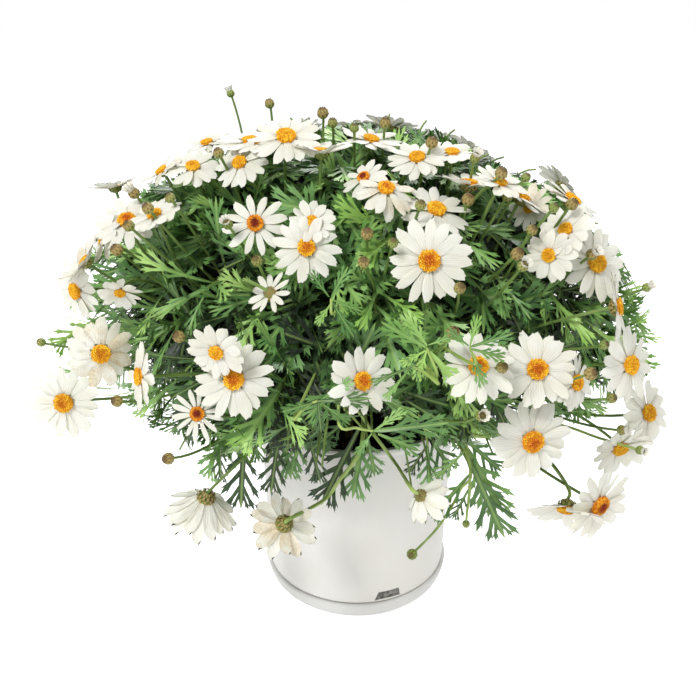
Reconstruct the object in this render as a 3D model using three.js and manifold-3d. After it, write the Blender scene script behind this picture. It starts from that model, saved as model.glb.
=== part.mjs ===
// Marguerite daisy in a round pot that stands in a shallow saucer.
// Millimetres, +Z up, origin at the centre of the saucer's underside, the viewer at -Y.
import * as THREE from 'three';
import { mergeVertices } from 'three/addons/utils/BufferGeometryUtils.js';
import Module from 'manifold-3d';

const wasm = await Module();
wasm.setup();

// Saucer
const SAUCER_FOOT_RADIUS = 87;
const SAUCER_RADIUS = 97;
const SAUCER_HEIGHT = 20;
const SAUCER_FLOOR = 2.6;

// Pot
const POT_BASE_Z = 2.9;
const POT_BASE_RADIUS = 88;
const POT_SKIRT_Z = 21;
const POT_SKIRT_RADIUS = 94;
const RIM_FOOT_Z = 190;
const POT_TOP_Z = 197;
const POT_TOP_RADIUS = 98;
const RIM_RADIUS = 100;
const POT_WALL = 3;
const POT_FLOOR_Z = 6;
const INSIDE_STEP_Z = 24;
const ROUND_SIDES = 26;

// Water slot at the foot of the pot wall, right of the front
const SLOT_ANGLE = -71;
const SLOT_WIDTH = 27;
const SLOT_HEIGHT = 9.5;
const SLOT_BOTTOM = 23;
const SLOT_DEPTH = 1.8;

// Potting mix and the holes that the stems stand in
const MIX_TOP = 183;
const MIX_GAP = 0.35;
const HOLE_RADIUS = 6;
const HOLE_BOTTOM = 150;
const STEM_RADIUS = 5.5;
const STEM_RING = 46;
const STEM_SIDES = 6;

// Outer shape of the flowering canopy and of the dense heart of leaves inside it
const CANOPY_CENTRE = [0, 0, 310];
const CANOPY_SIZE = [290, 255, 188];
const HEART_CENTRE = [0, 0, 318];
const HEART_SIZE = [150, 132, 84];
const HEART_GAP = 0.6;
const HEART_SIDES = 14;
const HEART_RINGS = 8;
const TUFT_REACH = 1.5;
const HOLLOW_REACH = 1.05;

// Leafy branches share the canopy like slices, counted from the front
const BRANCHES = 7;
const FIRST_EDGE = -126;
const EDGE_PLAY = 12;

// Viewpoint that the flowers' places in the picture are measured from
const EYE = [-9, -700, 552];
const EYE_PITCH = 22.9;
const FOCAL = 770;
const MIDDLE = 348;

// A flower: yellow disc and overlapping petals
const DISC_SHARE = 0.27;
const VALLEY_SHARE = 0.56;
const DOME_SHARE = 0.12;
const CALYX_RADIUS = 4.4;
const CALYX_LENGTH = 5.5;
const SEAT_GAP = 0.3;
const FLOWER_CLEARANCE = 2.3;

// Stalks, buds and leaves
const STALK_RADIUS = 1.35;
const BUD_STALK_RADIUS = 1.1;
const STALK_SIDES = 3;
const ROUTE_ATTEMPTS = 420;
const SHOOT_RADIUS = 1.8;
const BUD_RADIUS = 4.6;
const RIB_HALF = 0.7;
const HEART_LEAVES = 18;
const LEAF_ROOM = 4.2;
const STALK_ROOM = 3.2;
const BLADE_ROOM = 4.2;
const PETAL_SHARE = 0.76;
const HALF_OPEN = 1.35;

// Flowers: picture across, picture down, radius, facing right, facing up, petals, lift, bunch.
// Facing is a share of 1 towards the viewer; lift is the rise of the petal tips over the radius.
const FLOWERS = [
  [127, 221, 36, 0.0, 0.6, 12, 0.02, 'a'],
  [155, 215, 30, -0.3, 0.7, 10, 0.1, ''],
  [115, 187, 24, -0.2, 0.95, 10, 0.35, ''],
  [193, 167, 28, 0.0, 0.6, 11, 0.05, 'b'],
  [162, 171, 25, -0.5, 0.7, 10, 0.2, 'b'],
  [240, 163, 30, -0.3, 0.4, 11, 0.0, 'c'],
  [252, 142, 38, 0.0, 0.85, 12, 0.1, 'c'],
  [286, 137, 38, 0.05, 0.6, 13, 0.02, 'd'],
  [207, 143, 25, -0.2, 0.8, 10, 0.15, ''],
  [104, 239, 28, -0.8, 0.3, 10, 0.1, 'a'],
  [85, 262, 26, -0.7, 0.5, 9, 0.45, 'e'],
  [76, 291, 32, -0.6, -0.3, 11, 0.05, 'e'],
  [120, 292, 22, 0.1, -0.8, 9, 0.3, ''],
  [100.7, 353.5, 38, 0.4, -0.2, 11, -0.15, ''],
  [64, 402.6, 38, 0.0, -0.25, 12, 0.0, ''],
  [140, 376.6, 35, -0.85, 0.0, 11, 0.1, ''],
  [216.5, 352, 30, -0.2, -0.5, 10, 0.2, ''],
  [234, 379.4, 43, 0.0, 0.0, 13, 0.0, ''],
  [197.5, 413.8, 29, 0.0, 0.1, 14, 0.0, ''],
  [270, 293, 24, 0.45, -0.4, 11, 0.1, 'away'],
  [306.6, 247.5, 36, 0.0, 0.0, 12, 0.0, 'f'],
  [312, 222, 25, 0.0, 0.4, 10, 0.15, 'f'],
  [255.4, 223.6, 33, 0.0, 0.1, 12, 0.0, ''],
  [364, 178, 26, -0.4, 0.5, 11, 0.0, 'g'],
  [386, 189, 33, 0.1, 0.6, 11, -0.15, 'g'],
  [417, 158, 32, -0.1, 0.65, 12, 0.05, 'i'],
  [436, 210, 38, 0.2, 0.6, 12, 0.05, ''],
  [429, 261, 44, 0.0, 0.0, 13, 0.0, ''],
  [469, 184, 34, 0.1, 0.93, 11, 0.25, ''],
  [452, 153, 28, 0.0, 0.8, 10, 0.15, 'i'],
  [521.7, 197.7, 36, 0.5, 0.8, 11, 0.1, 'j'],
  [572, 200, 34, 0.5, 0.7, 11, 0.1, ''],
  [530, 208, 25, -0.6, 0.2, 9, 0.3, 'j'],
  [549, 255, 28, -0.5, -0.2, 10, 0.05, 'p'],
  [566, 230, 28, -0.6, 0.35, 10, 0.05, 'p'],
  [596, 263, 40, 0.4, 0.1, 12, 0.0, ''],
  [617.5, 307, 34, 0.9, 0.1, 11, 0.1, ''],
  [630, 365, 38, 0.5, 0.0, 12, 0.0, ''],
  [537.5, 369.4, 42, -0.15, 0.1, 13, -0.05, 'l'],
  [576, 382.5, 32, 0.6, 0.0, 11, 0.0, 'l'],
  [478, 367, 40, 0.0, 0.4, 12, 0.0, ''],
  [532.4, 441, 44, 0.15, -0.25, 12, 0.0, ''],
  [648, 413, 34, 0.5, 0.1, 11, 0.0, 'm'],
  [620, 448, 32, 0.2, -0.6, 11, 0.3, 'm'],
  [599, 505, 42, 0.5, -0.4, 13, 0.1, 'n'],
  [567, 508, 38, -0.2, -0.9, 11, 0.4, 'n'],
  [206, 498, 36, -0.3, -0.8, 12, 0.9, 'away'],
  [284, 524, 34, -0.35, -0.45, 10, 0.35, 'away'],
  [421, 496, 25, 0.6, -0.55, 9, 0.8, 'away'],
  [321, 152, 30, 0.0, 0.95, 10, 0.35, 'd'],
  [371, 140, 32, 0.2, 0.8, 11, 0.15, ''],
  [500, 183, 26, 0.3, 0.7, 10, 0.15, ''],
  [362, 381, 38, 0.45, 0.05, 11, 0.12, ''],
];

// Pairs of flowers on the side away from the viewer, spread evenly by the golden angle
const REAR_PAIRS = 9;
const REAR_FIRST = 53;
const REAR_RADIUS = 27;
const REAR_SPACING = 1.62;
const REAR_HIGHEST = 0.86;
const REAR_FALL = 1.0;
const REAR_ARC = 110;
const REAR_WIDEN = 8;
const REAR_DEPTH = 0.98;
const REAR_SINK = 0.14;
const REAR_SLIDE_TURN = 0.5;
const MATE_FIRST_TURN = 222;
const MATE_PAIR_TURN = 17;
const MATE_SLIDE_TURN = 8;
const MATE_REACH_STEP = 0.08;
const MATE_DEPTH_STEP = 0.012;
const GOLDEN_ANGLE = 137.508;

// Buds: picture across, picture down, 1 where the petals already show
const BUDS = [
  [230.5, 93.2, 1], [269.5, 103.4, 0], [322.8, 112.8, 0], [332.6, 122.6, 0], [385.2, 122.6, 0],
  [354.3, 127.8, 0], [218.5, 152.8, 0], [133.7, 192.8, 1], [170, 197.7, 0], [147.7, 208.2, 0],
  [227.7, 224.3, 1], [128.7, 225.7, 0], [116.8, 249.6, 0], [256.8, 260.8, 0], [367, 233.5, 0],
  [393, 242.6, 0], [363.5, 262.2, 0], [432, 142.3, 0], [475.4, 157.7, 1], [501.4, 173, 0],
  [526, 177.3, 0], [507.7, 195.6, 0], [468.4, 199, 0], [420.5, 205, 0], [572.2, 204, 0],
  [554, 207.5, 0], [532, 230, 0], [517.5, 253.8, 0], [523, 266, 1], [592.2, 254.4, 1],
  [647, 287.3, 1], [460, 288, 0], [453, 332.4, 0], [41, 342.3, 0], [178.6, 336.6, 0],
  [604.2, 344.9, 0], [502.4, 367.3, 0], [590.8, 373.6, 0], [611.9, 398.2, 0], [116.8, 401.2, 0],
  [640, 450.2, 1], [622, 430, 1], [168, 458.7, 0], [481, 416, 1], [411.9, 554.4, 0],
];

// Shoots that hang over the rim: distance in front of the axis, the stem's picture points from
// the root outwards, and the leaves as root and tip picture points
const SHOOTS = [
  {
    front: 124,
    stem: [[330, 392], [352, 416], [365, 431]],
    leaves: [[360, 427, 318, 508], [364, 431, 352, 503], [366, 432, 377, 480]],
  },
  {
    front: 120,
    stem: [[292, 396], [303, 414], [308, 430]],
    leaves: [[308, 428, 319, 487], [305, 420, 290, 478]],
  },
  {
    front: 112,
    stem: [[265, 396], [252, 414], [245, 432]],
    leaves: [[246, 430, 237, 513], [250, 418, 259, 466]],
  },
  {
    front: 104,
    stem: [[236, 396], [226, 418], [219, 440]],
    leaves: [[220, 436, 219, 485], [223, 424, 206, 484]],
  },
  {
    front: 118,
    stem: [[282, 398], [279, 416], [280, 436]],
    leaves: [[280, 432, 268, 497], [280, 420, 291, 484]],
  },
  {
    front: 138,
    stem: [[424, 398], [444, 421], [462, 436], [470, 462], [469, 490], [467, 516]],
    leaves: [
      [469, 458, 505, 544], [466, 446, 506, 518], [460, 435, 506, 474],
      [470, 474, 430, 520], [469, 488, 452, 522],
    ],
  },
  {
    front: 126,
    stem: [[408, 396], [422, 420], [428, 446]],
    leaves: [[428, 444, 408, 475], [427, 440, 430, 492], [424, 428, 455, 474]],
  },
];

// Vector and number helpers
const RAD = Math.PI / 180;
const vec = (x, y, z) => new THREE.Vector3(x, y, z);
const WORLD_UP = vec(0, 0, 1);

function seeded(key) {
  let state = (key * 7919 + 104729) % 2147483647;
  const next = () => {
    state = (state * 16807) % 2147483647;
    return state / 2147483647;
  };
  next();
  next();
  return next;
}

const spread = (random, size) => (random() * 2 - 1) * size;

// The point in the direction from the centre where an ellipsoid's skin lies
function onSkin(centre, size, direction, share) {
  const reach = Math.hypot(direction.x / size[0], direction.y / size[1], direction.z / size[2]);
  return vec(...centre).addScaledVector(direction, share / reach);
}

// Lines of sight
const eye = vec(...EYE);
const forward = vec(0, Math.cos(EYE_PITCH * RAD), -Math.sin(EYE_PITCH * RAD));
const rightward = vec(1, 0, 0);
const upward = rightward.clone().cross(forward);

function sight(across, down) {
  return forward.clone()
    .addScaledVector(rightward, (across - MIDDLE) / FOCAL)
    .addScaledVector(upward, (MIDDLE - down) / FOCAL);
}

function canopyDepth(line) {
  const start = eye.clone().sub(vec(...CANOPY_CENTRE));
  const o = [start.x / CANOPY_SIZE[0], start.y / CANOPY_SIZE[1], start.z / CANOPY_SIZE[2]];
  const d = [line.x / CANOPY_SIZE[0], line.y / CANOPY_SIZE[1], line.z / CANOPY_SIZE[2]];
  const a = d[0] * d[0] + d[1] * d[1] + d[2] * d[2];
  const b = o[0] * d[0] + o[1] * d[1] + o[2] * d[2];
  const c = o[0] * o[0] + o[1] * o[1] + o[2] * o[2] - 1;
  return (-b - Math.sqrt(Math.max(0, b * b - a * c))) / a;
}

const atDepth = (line, depth) => eye.clone().addScaledVector(line, depth);

function onFrontPlane(point, front) {
  const line = sight(point[0], point[1]);
  return atDepth(line, (-front - EYE[1]) / line.y);
}

// Flowers: pose and shape of each
function flowerAxes(normal) {
  const helper = Math.abs(normal.z) < 0.9 ? WORLD_UP : vec(1, 0, 0);
  const across = normal.clone().cross(helper).normalize();
  return { across, along: normal.clone().cross(across) };
}

function makeFlower(centre, normal, radius, petals, lift, bunch, key) {
  const rise = lift * radius;
  return {
    centre, normal, radius, petals, rise, bunch, key,
    back: 4 + 0.45 * Math.max(0, rise),
    ...flowerAxes(normal),
  };
}

const topOf = (flower, share) =>
  flower.rise * Math.max(0, (share - DISC_SHARE) / (1 - DISC_SHARE));

const undersideOf = (flower, share) => flower.rise * share - flower.back * (1 - share);

function insideFlower(point, flower, margin) {
  const offset = point.clone().sub(flower.centre);
  const height = offset.dot(flower.normal);
  const away = Math.sqrt(Math.max(0, offset.lengthSq() - height * height));
  if (away > flower.radius + margin) {
    return false;
  }
  const share = Math.min(1, away / flower.radius);
  const dome = share < DISC_SHARE + 0.05 ? DOME_SHARE * flower.radius : 0;
  return height < topOf(flower, share) + dome + margin
    && height > undersideOf(flower, share) - margin;
}

function flowerSamples(flower) {
  const samples = [flower.centre.clone().addScaledVector(flower.normal, -flower.back)];
  for (let turn = 0; turn < 24; turn += 1) {
    const angle = turn * 15 * RAD;
    for (const share of [0.3, 0.55, 0.8, 1]) {
      samples.push(flower.centre.clone()
        .addScaledVector(flower.across, Math.cos(angle) * share * flower.radius)
        .addScaledVector(flower.along, Math.sin(angle) * share * flower.radius)
        .addScaledVector(flower.normal, topOf(flower, share)));
    }
  }
  return samples;
}

function flowersTouch(one, other, margin) {
  const reach = one.radius + other.radius + Math.abs(one.rise) + Math.abs(other.rise) + 8;
  if (one.centre.distanceTo(other.centre) > reach) {
    return false;
  }
  return flowerSamples(one).some((point) => insideFlower(point, other, margin))
    || flowerSamples(other).some((point) => insideFlower(point, one, margin));
}

// Where each petal points and how far it reaches, as angle and share of the radius
function petalPlan(flower) {
  const random = seeded(flower.key + 500);
  const turn = random() * 6;
  const count = Math.round(flower.petals * PETAL_SHARE);
  const half = Math.PI / count;
  const petals = [];
  for (let petal = 0; petal < count; petal += 1) {
    const middle = turn + petal * 2 * half + spread(random, 0.1 * half);
    petals.push({ middle, reach: 0.92 + 0.08 * random(), valley: turn + (petal * 2 + 1) * half });
  }
  return { half, petals };
}

function onFlower(flower, angle, share, height) {
  return flower.centre.clone()
    .addScaledVector(flower.across, Math.cos(angle) * share * flower.radius)
    .addScaledVector(flower.along, Math.sin(angle) * share * flower.radius)
    .addScaledVector(flower.normal, height);
}

function insidePetals(point, flower, plan) {
  const offset = point.clone().sub(flower.centre);
  const height = offset.dot(flower.normal);
  const [x, y] = [offset.dot(flower.across), offset.dot(flower.along)];
  const share = Math.hypot(x, y) / flower.radius;
  const [top, below] = [topOf(flower, share) - 0.2, undersideOf(flower, share) + 0.2];
  if (share > 1 || height > top || height < below) {
    return false;
  }
  return share < VALLEY_SHARE || plan.petals.some(({ middle, reach }) => {
    const turned = Math.abs(Math.atan2(
      y * Math.cos(middle) - x * Math.sin(middle), x * Math.cos(middle) + y * Math.sin(middle),
    ));
    return share < reach
      && turned < plan.half * (1 - 0.5 * (share - VALLEY_SHARE) / (reach - VALLEY_SHARE));
  });
}

// Mates of a bunch have petals that run into each other
function flowersJoin(one, other) {
  const shared = (from, into) => {
    const [fromPlan, intoPlan] = [petalPlan(from), petalPlan(into)];
    return fromPlan.petals.flatMap(({ middle }) => [0.5, 0.6, 0.7, 0.8, 0.88].flatMap((share) =>
      [-0.35, 0, 0.35].map((turn) => onFlower(
        from, middle + turn * fromPlan.half, share,
        (topOf(from, share) + undersideOf(from, share)) / 2,
      )))).filter((point) => insidePetals(point, into, intoPlan)).length;
  };
  return shared(one, other) + shared(other, one) >= 2;
}

const calyxTop = (flower) =>
  flower.centre.clone().addScaledVector(flower.normal, -flower.back - SEAT_GAP);
const calyxFoot = (flower) =>
  flower.centre.clone().addScaledVector(flower.normal, -flower.back - SEAT_GAP - CALYX_LENGTH);

function calyxFree(one, other) {
  return !insideFlower(calyxTop(one), other, CALYX_RADIUS + 0.8)
    && !insideFlower(calyxFoot(one), other, STALK_RADIUS + 1.5);
}

// Each flower lies on its line of sight at the canopy's skin, or a little before or behind it
// where another flower is in the way; the flowers of one bunch touch
const SLIDES = [0];
for (let step = 3; step <= 132; step += 3) {
  SLIDES.push(step, -step);
}

// The first flower of a pair slides sideways over the canopy, the second goes round the first
function rearFlower(index, slide, first) {
  const pair = Math.floor(index / 2);
  const height = REAR_HIGHEST - REAR_FALL * (pair + 0.5) / REAR_PAIRS;
  const turn = ((180 + pair * GOLDEN_ANGLE) % 360) / 360 - 0.5;
  const angle = (90 + (REAR_ARC + REAR_WIDEN * pair) * turn + REAR_SLIDE_TURN * slide) * RAD;
  const ring = Math.sqrt(1 - height * height);
  const direction = vec(Math.cos(angle) * ring, Math.sin(angle) * ring, height);
  const radius = REAR_RADIUS + (index % 3) * 2;
  let share = REAR_DEPTH - REAR_SINK * Math.max(0, height);
  if (index % 2 === 1) {
    const outward = first.centre.clone().sub(vec(...CANOPY_CENTRE)).normalize();
    const sideways = WORLD_UP.clone().cross(outward).normalize();
    const upslope = outward.clone().cross(sideways);
    const lean = (MATE_FIRST_TURN + MATE_PAIR_TURN * pair + MATE_SLIDE_TURN * slide) * RAD;
    const reach = (REAR_SPACING - MATE_REACH_STEP * (Math.abs(slide / 3) % 4)) * radius;
    const skin = first.centre.clone()
      .addScaledVector(sideways, Math.cos(lean) * reach)
      .addScaledVector(upslope, Math.sin(lean) * reach);
    direction.copy(skin).sub(vec(...CANOPY_CENTRE)).normalize();
    share += MATE_DEPTH_STEP * ((slide / 3) % 3 - 1);
  }
  const normal = direction.clone().addScaledVector(WORLD_UP, 0.25).normalize();
  return makeFlower(
    onSkin(CANOPY_CENTRE, CANOPY_SIZE, direction, share),
    normal, radius, 10 + index % 2, index % 3 === 1 ? 0.15 : 0, `rear${pair}`,
    REAR_FIRST + index,
  );
}

function placeFlowers() {
  const placed = [];
  const settle = (poseAt, bunch) => {
    const mates = placed.filter((flower) => bunch && flower.bunch === bunch);
    const others = placed.filter((flower) => !bunch || flower.bunch !== bunch);
    for (const slide of SLIDES) {
      const flower = poseAt(slide);
      const joins = mates.every((mate) => flowersJoin(flower, mate));
      const free = placed.every((other) => calyxFree(flower, other) && calyxFree(other, flower))
        && !others.some((other) => flowersTouch(flower, other, FLOWER_CLEARANCE));
      if (joins && free) {
        placed.push(flower);
        return;
      }
    }
    placed.push({ ...poseAt(0), bunch: '' });
  };
  FLOWERS.forEach(([across, down, radius, right, up, petals, lift, tag], index) => {
    const line = sight(across, down);
    const rest = Math.sqrt(Math.max(0, 1 - right * right - up * up));
    const towards = tag === 'away' ? -rest : rest;
    const normal = rightward.clone().multiplyScalar(right)
      .addScaledVector(upward, up)
      .addScaledVector(forward, -towards)
      .normalize();
    const bunch = tag === 'away' ? '' : tag;
    const depth = canopyDepth(line);
    const size = radius * depth / FOCAL;
    settle((slide) => makeFlower(
      atDepth(line, depth + slide), normal, size, petals, lift, bunch, index + 1,
    ), bunch);
  });
  for (let index = 0; index < 2 * REAR_PAIRS; index += 1) {
    const first = placed[placed.length - 1];
    settle((slide) => rearFlower(index, slide, first), `rear${Math.floor(index / 2)}`);
  }
  return placed;
}

function placeBuds(flowers) {
  const buds = [];
  BUDS.forEach(([across, down, open], index) => {
    const line = sight(across, down);
    const depth = canopyDepth(line) - 12;
    const radius = BUD_RADIUS * (0.88 + 0.24 * ((index * 7) % 5) / 4);
    const clear = (slide) => {
      const centre = atDepth(line, depth + slide);
      return !flowers.some((flower) => insideFlower(centre, flower, radius * HALF_OPEN + 1.6))
        && !buds.some((bud) => bud.centre.distanceTo(centre) < 16);
    };
    const slide = SLIDES.find(clear) ?? 0;
    const centre = atDepth(line, depth + slide);
    const outward = centre.clone().sub(vec(...HEART_CENTRE)).normalize();
    const normal = outward.addScaledVector(WORLD_UP, 0.6).normalize();
    buds.push({ centre, radius, normal, open: open === 1, key: 200 + index });
  });
  return buds;
}

const flowers = placeFlowers();
const buds = placeBuds(flowers);

// Edges of the branches' slices, each turned a little to where no stalk's end is near
function sideDistance(point, angle) {
  return Math.cos(angle * RAD) * point.y - Math.sin(angle * RAD) * point.x;
}

function chooseEdges() {
  const budCentres = buds.map((bud) => bud.centre);
  const ends = [...flowers.map(calyxTop), ...flowers.map(calyxFoot), ...budCentres];
  SHOOTS.forEach((shoot) => {
    shoot.stem.forEach((point) => ends.push(onFrontPlane(point, shoot.front)));
    shoot.leaves.forEach(([fromAcross, fromDown, toAcross, toDown]) => {
      const middle = [(fromAcross + toAcross) / 2, (fromDown + toDown) / 2];
      for (const side of [-16, 0, 16]) {
        ends.push(onFrontPlane([middle[0] + side, middle[1] + 8], shoot.front));
      }
      ends.push(onFrontPlane([toAcross, toDown], shoot.front));
    });
  });
  const edges = [];
  for (let branch = 0; branch < BRANCHES; branch += 1) {
    let best = 0;
    let bestRoom = -1;
    for (let play = -EDGE_PLAY; play <= EDGE_PLAY; play += 1) {
      const angle = FIRST_EDGE + branch * 360 / BRANCHES + play;
      const ahead = ends.filter((end) =>
        Math.cos(angle * RAD) * end.x + Math.sin(angle * RAD) * end.y > 0);
      const room = Math.min(...ahead.map((end) => Math.abs(sideDistance(end, angle))));
      if (room > bestRoom) {
        bestRoom = room;
        best = angle;
      }
    }
    edges.push(best);
  }
  return edges;
}

const edges = chooseEdges();

function sliceRoom(point, branch) {
  const last = branch + 1 < BRANCHES ? edges[branch + 1] : edges[0] + 360;
  return Math.min(sideDistance(point, edges[branch]), -sideDistance(point, last));
}

function branchOf(point) {
  let best = 0;
  for (let branch = 1; branch < BRANCHES; branch += 1) {
    if (sliceRoom(point, branch) > sliceRoom(point, best)) {
      best = branch;
    }
  }
  return best;
}

function branchMiddle(branch) {
  const last = branch + 1 < BRANCHES ? edges[branch + 1] : edges[0] + 360;
  return (edges[branch] + last) / 2;
}

// How many of a set of points run into a flower, a bud, the pot or the next slice
function troubles(points, branch, margin, ownFlower, ownBud) {
  let count = 0;
  for (const point of points) {
    const inPot = Math.hypot(point.x, point.y) < RIM_RADIUS + 3 && point.z < POT_TOP_Z + 3;
    if (inPot || sliceRoom(point, branch) < margin) {
      count += 1;
    }
    const byFoot = ownFlower && point.distanceTo(calyxFoot(ownFlower)) < 3;
    const marginTo = (flower) => (flower === ownFlower && byFoot ? -1 : margin);
    if (flowers.some((flower) => insideFlower(point, flower, marginTo(flower)))) {
      count += 1;
    }
    if (buds.some((bud) => bud !== ownBud
      && bud.centre.distanceTo(point) < bud.radius * HALF_OPEN + margin)) {
      count += 1;
    }
  }
  return count;
}

// Stalks: from the heart of leaves out to a calyx or a bud
function curvePoints(start, bend, end, steps) {
  return new THREE.QuadraticBezierCurve3(start, bend, end).getPoints(steps);
}

// Points along the smooth curve and along the two straight lengths that stand for it
function stalkSamples(root, bend, end) {
  const samples = curvePoints(root, bend, end, 8).slice(1, 8);
  const [from, elbow, to] = curvePoints(root, bend, end, 2);
  for (let step = 1; step < 20; step += 1) {
    samples.push(from.clone().lerp(elbow, step / 20), elbow.clone().lerp(to, step / 20));
  }
  return samples;
}

function routeStalk(branch, key, ownFlower, ownBud) {
  const random = seeded(key);
  let best = null;
  let fewest = Infinity;
  for (let attempt = 0; attempt < ROUTE_ATTEMPTS && fewest > 0; attempt += 1) {
    const wander = attempt * 0.42;
    const away = (ownFlower ?? ownBud).normal.clone().negate();
    if (ownBud) {
      const turn = attempt * 0.012;
      away.add(vec(spread(random, turn), spread(random, turn), spread(random, turn))).normalize();
    }
    const end = ownFlower
      ? calyxFoot(ownFlower)
      : ownBud.centre.clone().addScaledVector(away, ownBud.radius * 0.95);
    const direction = end.clone().sub(vec(...HEART_CENTRE));
    const length = direction.length();
    direction.addScaledVector(WORLD_UP, -0.12 * length);
    const middle = branchMiddle(branch) * RAD;
    const pull = Math.min(1, 0.1 + 0.012 * attempt);
    direction.addScaledVector(vec(Math.cos(middle), Math.sin(middle), 0), pull * length);
    direction.add(vec(spread(random, wander), spread(random, wander), spread(random, wander)));
    const root = onSkin(HEART_CENTRE, HEART_SIZE, direction, 0.82);
    const span = root.distanceTo(end);
    const bend = end.clone().addScaledVector(away, 0.45 * span)
      .add(vec(spread(random, wander), spread(random, wander), spread(random, wander)));
    const found = troubles(stalkSamples(root, bend, end), branch, STALK_ROOM, ownFlower, ownBud);
    if (found < fewest) {
      fewest = found;
      best = { root, bend, end, away };
    }
  }
  return { ...best, fewest };
}

function planStalks() {
  const stalks = flowers.map((flower) => {
    const branch = branchOf(calyxFoot(flower));
    return { branch, flower, ...routeStalk(branch, flower.key, flower, null) };
  });
  buds.forEach((bud) => {
    const branch = branchOf(bud.centre);
    stalks.push({ branch, bud, ...routeStalk(branch, bud.key, null, bud) });
  });
  return stalks;
}

const stalks = planStalks();

// Leaves: a rib with two or three pairs of pointed lobes
function leafFrame(root, axis, facing) {
  const side = axis.clone().cross(facing).normalize();
  return { root, axis, side, up: side.clone().cross(axis) };
}

function leafPoint(leaf, along, across, above) {
  const droop = -leaf.droop * along * along;
  return leaf.root.clone()
    .addScaledVector(leaf.axis, along * leaf.length)
    .addScaledVector(leaf.side, across * leaf.width)
    .addScaledVector(leaf.up, above + droop);
}

function leafSamples(leaf) {
  const shares = [];
  for (let along = 0.24; along < 1.01; along += 0.0761) {
    shares.push([along, 0]);
  }
  for (const side of [1, -1]) {
    shares.push([0.4, side * 0.6], [0.56, side], [0.58, side * 0.5]);
    shares.push([0.7, side * 0.4], [0.88, side * 0.7]);
  }
  return shares.map(([along, across]) => leafPoint(leaf, along, across, 0));
}

// Room already taken by stalks, buds and leaves of each branch
const taken = Array.from({ length: BRANCHES }, () => []);

stalks.forEach((stalk) => {
  taken[stalk.branch].push(...curvePoints(stalk.root, stalk.bend, stalk.end, 12).slice(2));
});

function crowded(samples, branch, room) {
  return samples.some((point) => taken[branch].some((other) => other.distanceTo(point) < room));
}

function tryLeaf(makeLeaf, branch, attempts, room) {
  for (let attempt = 0; attempt < attempts; attempt += 1) {
    const leaf = makeLeaf(attempt);
    const samples = leafSamples(leaf);
    const free = troubles(samples, branch, BLADE_ROOM, null, null) === 0;
    if (free && !crowded(samples, branch, room)) {
      taken[branch].push(...samples);
      return leaf;
    }
  }
  return null;
}

function heartLeaves(branch) {
  const leaves = [];
  const first = edges[branch];
  const width = 2 * (branchMiddle(branch) - first);
  for (let index = 0; index < HEART_LEAVES; index += 1) {
    const random = seeded(1000 + branch * 50 + index);
    const made = tryLeaf((attempt) => {
      const across = (0.618 * index + 0.3 + 0.11 * attempt) % 1;
      const angle = (first + width * (0.12 + 0.76 * across)) * RAD;
      const height = -0.55 + 1.45 * (index + 0.5) / HEART_LEAVES;
      const ring = Math.sqrt(1 - height * height);
      const direction = vec(Math.cos(angle) * ring, Math.sin(angle) * ring, height);
      const outward = vec(
        direction.x / HEART_SIZE[0], direction.y / HEART_SIZE[1], direction.z / HEART_SIZE[2],
      ).normalize();
      const sideways = vec(-Math.sin(angle), Math.cos(angle), 0);
      const turn = (index * GOLDEN_ANGLE + 50 * attempt) * RAD;
      const upslope = sideways.clone().cross(outward).negate();
      const axis = outward.clone().multiplyScalar(0.75 + 0.25 * random())
        .addScaledVector(sideways, Math.cos(turn))
        .addScaledVector(upslope, Math.abs(Math.sin(turn)))
        .normalize();
      const facing = outward.addScaledVector(WORLD_UP, 0.2);
      return {
        ...leafFrame(onSkin(HEART_CENTRE, HEART_SIZE, direction, 0.9), axis, facing),
        length: 104 + 28 * random(), width: 26 + 8 * random(), droop: 8 + 12 * random(), pairs: 2,
      };
    }, branch, 30, LEAF_ROOM);
    if (made) {
      leaves.push(made);
    }
  }
  return leaves;
}

function planShoot(shoot, index) {
  const stem = shoot.stem.map((point) => onFrontPlane(point, shoot.front));
  const branch = branchOf(stem[stem.length - 1]);
  const root = onSkin(HEART_CENTRE, HEART_SIZE, stem[0].clone().sub(vec(...HEART_CENTRE)), 0.8);
  const leaves = [];
  taken[branch].push(...stem);
  shoot.leaves.forEach(([fromAcross, fromDown, toAcross, toDown], number) => {
    const made = tryLeaf((attempt) => {
      const start = nearestOn(stem, onFrontPlane([fromAcross, fromDown], shoot.front));
      const tip = onFrontPlane([toAcross, toDown], shoot.front + 6 + 3 * number + attempt * 2.5);
      const length = start.distanceTo(tip);
      const axis = tip.sub(start).normalize();
      const facing = vec(0, -1, 0.35);
      return {
        ...leafFrame(start, axis, facing),
        length, width: 0.24 * length, droop: 2, pairs: 3,
      };
    }, branch, 14, 0);
    if (made) {
      leaves.push(made);
    }
  });
  return { branch, points: [root, ...stem], leaves, key: index };
}

function nearestOn(points, target) {
  let best = points[0];
  for (let index = 0; index + 1 < points.length; index += 1) {
    for (let step = 0; step <= 10; step += 1) {
      const point = points[index].clone().lerp(points[index + 1], step / 10);
      if (point.distanceTo(target) < best.distanceTo(target)) {
        best = point;
      }
    }
  }
  return best.clone();
}

// Solids
function solidFrom(positions, triangles) {
  return new wasm.Manifold(new wasm.Mesh({
    numProp: 3,
    vertProperties: new Float32Array(positions),
    triVerts: new Uint32Array(triangles),
  }));
}

function solidOf(geometry) {
  const plain = geometry.clone();
  plain.deleteAttribute('normal');
  plain.deleteAttribute('uv');
  const merged = mergeVertices(plain, 1e-4);
  return solidFrom(merged.getAttribute('position').array, merged.getIndex().array);
}

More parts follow.
